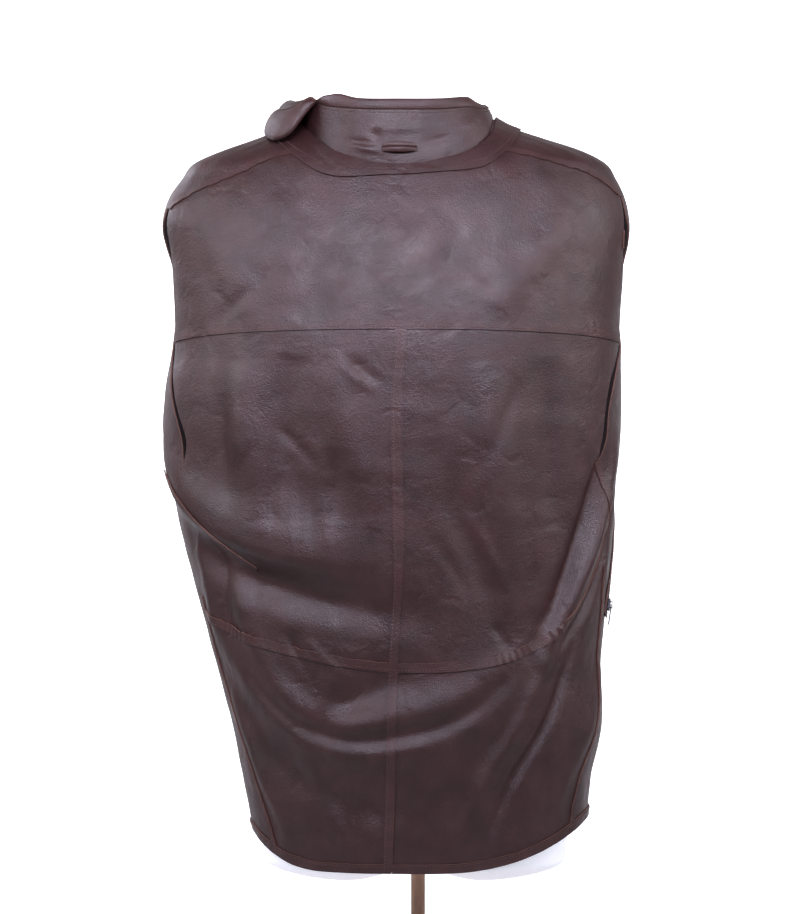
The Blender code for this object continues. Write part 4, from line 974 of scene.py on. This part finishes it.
def form_point(turn, level):
    """Form surface: level -1..0 the lobed underside, 0..1 up the rings, 1..2 the neck cap."""
    turn, level = np.broadcast_arrays(turn, level)
    ring_z = column(FORM_RINGS, "z", MM)
    z = smooth(np.clip(level, 0, 1), np.linspace(0, 1, len(ring_z)), ring_z)
    size = {n: smooth(z, ring_z, column(FORM_RINGS, n, MM)) for n in ("half", "back", "front")}
    lean = np.interp(z, ring_z[[0, -1]], np.array(FORM_LEAN) * MM)
    under, over = np.clip(-level, 0, 1), np.clip(level - 1, 0, 1)
    shrink = np.cos((under + over) * np.pi / 2)
    side, depth = np.sin(turn), np.cos(turn)
    x = size["half"] * shrink * signed_power(side, 2 / RING_POWER)
    y = np.where(depth > 0, size["back"], size["front"]) * shrink * signed_power(depth, 2 / RING_POWER)
    drop = LOBE_DROP * np.sin(under * np.pi / 2) * (1 - GROOVE * np.exp(-((x / GROOVE_HALF) ** 2)))
    return np.stack([x + lean, y, z - drop + NECK_RISE * np.sin(over * np.pi / 2)], axis=-1)


COVER = plain("stretched_cotton_jersey_cover", "#eef1f6", "#f8fafd", 0.75, 1.2, 0.25)
COVER_SHADER = COVER.node_tree.nodes["Principled BSDF"]
COVER_SHADER.inputs["Emission Color"].default_value = linear("#e9eefc")
COVER_SHADER.inputs["Emission Strength"].default_value = 0.44

turns = np.linspace(0, 2 * math.pi, 129)[:-1]
under, body, neck = np.linspace(-0.985, 0, 18)[:-1], np.linspace(0, 1, 100), np.linspace(1, 1.97, 8)[1:]
form = form_point(turns, np.concatenate([under, body, neck])[:, None])
rows, columns = form.shape[:2]
corner = np.arange(rows * columns).reshape(rows, columns)
form_faces = ring_faces(rows, columns)[:, ::-1].tolist() + [corner[0].tolist(), corner[-1][::-1].tolist()]
form_piece = mesh_piece("form_cover", form, form_faces, (COVER,))
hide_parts("form_torso")

# %% [markdown]
# Pole and base are turned in the frame already, so they only get their wood: beech with fine grain that runs
# up the pole, under a satin varnish. The sliders and pull tabs of the zips get their casting in the same way.

# %% Wood and cast metal
def wood(name):
    """Turned beech: grain of 4 mm, stretched six times along the pole."""
    material, tree, shader, place = new_finish(name)
    stretch = add(tree, "Mapping", {"Vector": place, "Scale": (1.0, 1.0, 0.16)})
    grain = add(tree, "TexNoise", {"Vector": stretch.outputs["Vector"], "Scale": 1 / (4 * MM), "Detail": 6.0,
                                   "Distortion": 0.6})
    tone = add(tree, "Mix", {"Factor": grain.outputs["Fac"], "A": linear("#7d5c48"), "B": linear("#b8967f")},
               data_type="RGBA")
    bump = add(tree, "Bump", {"Height": grain.outputs["Fac"], "Strength": 0.15, "Distance": 0.2 * MM})
    tree.links.new(tone.outputs["Result"], shader.inputs["Base Color"])
    tree.links.new(bump.outputs["Normal"], shader.inputs["Normal"])
    shader.inputs["Roughness"].default_value = 0.42
    return material


WOOD = wood("turned_beech_satin_varnish")
FINISH_OF = {"stand": WOOD, "slider": GUNMETAL, "pull": GUNMETAL}
for name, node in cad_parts.items():
    finish = FINISH_OF.get(name.split("_")[0])
    if finish:
        node.data.materials.clear()
        node.data.materials.append(finish)

# %% [markdown]
# ## Cut sizes
# Each panel lies draped over the form; its flat cut and area are noted in CUTS, and the strips, stitches
# and other pieces laid on it in GOES_WITH.

# %% [markdown]
# ## Studio
# The photo is a cut-out on white: a level camera behind the back, soft light from above. A white sweep is
# floor and backdrop in one curve. Its wall gives off light and is clear from behind, so that the front can be
# seen too; paper and surroundings look whiter than the light that they give, as in a cut-out. A wide soft box
# high behind the back makes the sheen on the shoulders, two more fill the sides, and a small one shapes the
# front. All four are real lights, so that the sheen moves with the view.

# %% Sweep, light and camera
def sweep(name, half_width, front, back, height):
    """Profile of a floor that bends up into a wall by a quarter circle of 0.8 m, carried sideways."""
    radius = 0.8
    turn = np.linspace(0, math.pi / 2, 16)
    y = np.concatenate([[front], back + radius - radius * np.sin(turn), [back]])
    z = np.concatenate([[0.0], radius - radius * np.cos(turn), [height]])
    x = np.array([half_width, -half_width])
    grid = np.stack(np.broadcast_arrays(x, y[:, None], z[:, None]), axis=-1)
    return mesh_piece(name, grid, grid_faces(*grid.shape[:2]).tolist(), (PAPER,), body=None)


PAPER, tree, shader, place = new_finish("white_background_paper")
split = add(tree, "SeparateXYZ", {"Vector": place})
glow = add(tree, "MapRange", {"Value": split.outputs["Y"], "From Min": -0.6, "From Max": -1.1,
                              "To Min": 0.0, "To Max": 0.45})
seen = add(tree, "LightPath", {})
reach = add(tree, "VectorMath", {0: place}, operation="LENGTH")
far = add(tree, "MapRange", {"Value": reach.outputs["Value"], "From Min": 0.5, "From Max": 1.5,
                             "To Min": 0.0, "To Max": 0.9})
shown = add(tree, "Math", {0: seen.outputs["Is Camera Ray"], 1: far.outputs["Result"], 2: glow.outputs["Result"]},
            operation="MULTIPLY_ADD")
tree.links.new(shown.outputs[0], shader.inputs["Emission Strength"])
shader.inputs["Base Color"].default_value = linear("#d9d9d9")
shader.inputs["Roughness"].default_value = 0.9
shader.inputs["Emission Color"].default_value = (1, 1, 1, 1)
sheet_side = add(tree, "NewGeometry", {})
clear = add(tree, "BsdfTransparent", {})
paper = add(tree, "MixShader", {0: sheet_side.outputs["Backfacing"], 1: shader.outputs[0], 2: clear.outputs[0]})
tree.links.new(paper.outputs[0], tree.nodes["Material Output"].inputs["Surface"])
floor = sweep("studio_sweep", 4.0, 4.5, -1.5, 4.0)
print("floor faces up:", floor.data.polygons[0].normal.z > 0)

world = bpy.data.worlds.new("studio")
bpy.context.scene.world = world
world.use_nodes = True
tree = world.node_tree
backing = tree.nodes["Background"]
backing.inputs["Color"].default_value = linear("#eef1f7")
seen = add(tree, "LightPath", {})
strength = add(tree, "MapRange", {"Value": seen.outputs["Is Camera Ray"], "To Min": 0.045, "To Max": 0.95})
tree.links.new(strength.outputs["Result"], backing.inputs["Strength"])


def soft_box(name, place, target, size, power, colour, spread):
    """Area light of a size in metres, aimed from a place at a target; spread is the angle its grid lets out."""
    light = bpy.data.lights.new(name, "AREA")
    light.shape, light.size, light.size_y = "RECTANGLE", *size
    light.energy, light.color, light.spread = power, linear(colour)[:3], math.radians(spread)
    lamp = bpy.data.objects.new(name, light)
    bpy.context.scene.collection.objects.link(lamp)
    aim = np.array(target) - np.array(place)
    lamp.location = place
    lamp.rotation_euler = (math.atan2(math.hypot(aim[0], aim[1]), -aim[2]), 0, math.atan2(-aim[0], aim[1]))


soft_box("key_above", (0.0, 1.7, 1.62), (0.02, 0.1, 0.90), (3.0, 0.5), 12.8, "#eeeaff", 60)
soft_box("fill_left", (1.8, 0.9, 1.55), (0.0, 0.0, 0.84), (1.8, 1.2), 9.0, "#f2eef8", 84)
soft_box("fill_right", (-1.8, 0.85, 1.55), (0.0, 0.0, 0.84), (1.8, 1.2), 8.8, "#f4eff6", 84)
soft_box("front_side", (1.5, -1.0, 1.5), (0.0, -0.1, 0.6), (0.8, 0.8), 6, "#f4f0ff", 120)

SENSOR, CAMERA_AWAY, PICTURE_HEIGHT = 36.0, 3.0, 0.914
camera = bpy.data.objects.new("photo_camera", bpy.data.cameras.new("photo_camera"))
bpy.context.scene.collection.objects.link(camera)
camera.data.sensor_width, camera.data.lens = SENSOR, SENSOR * CAMERA_AWAY / PICTURE_HEIGHT
camera.location, camera.rotation_euler = (0.018, CAMERA_AWAY, 0.615), (math.pi / 2, 0, math.pi)
bpy.context.scene.camera = camera
bpy.context.scene.view_settings.view_transform = "Standard"
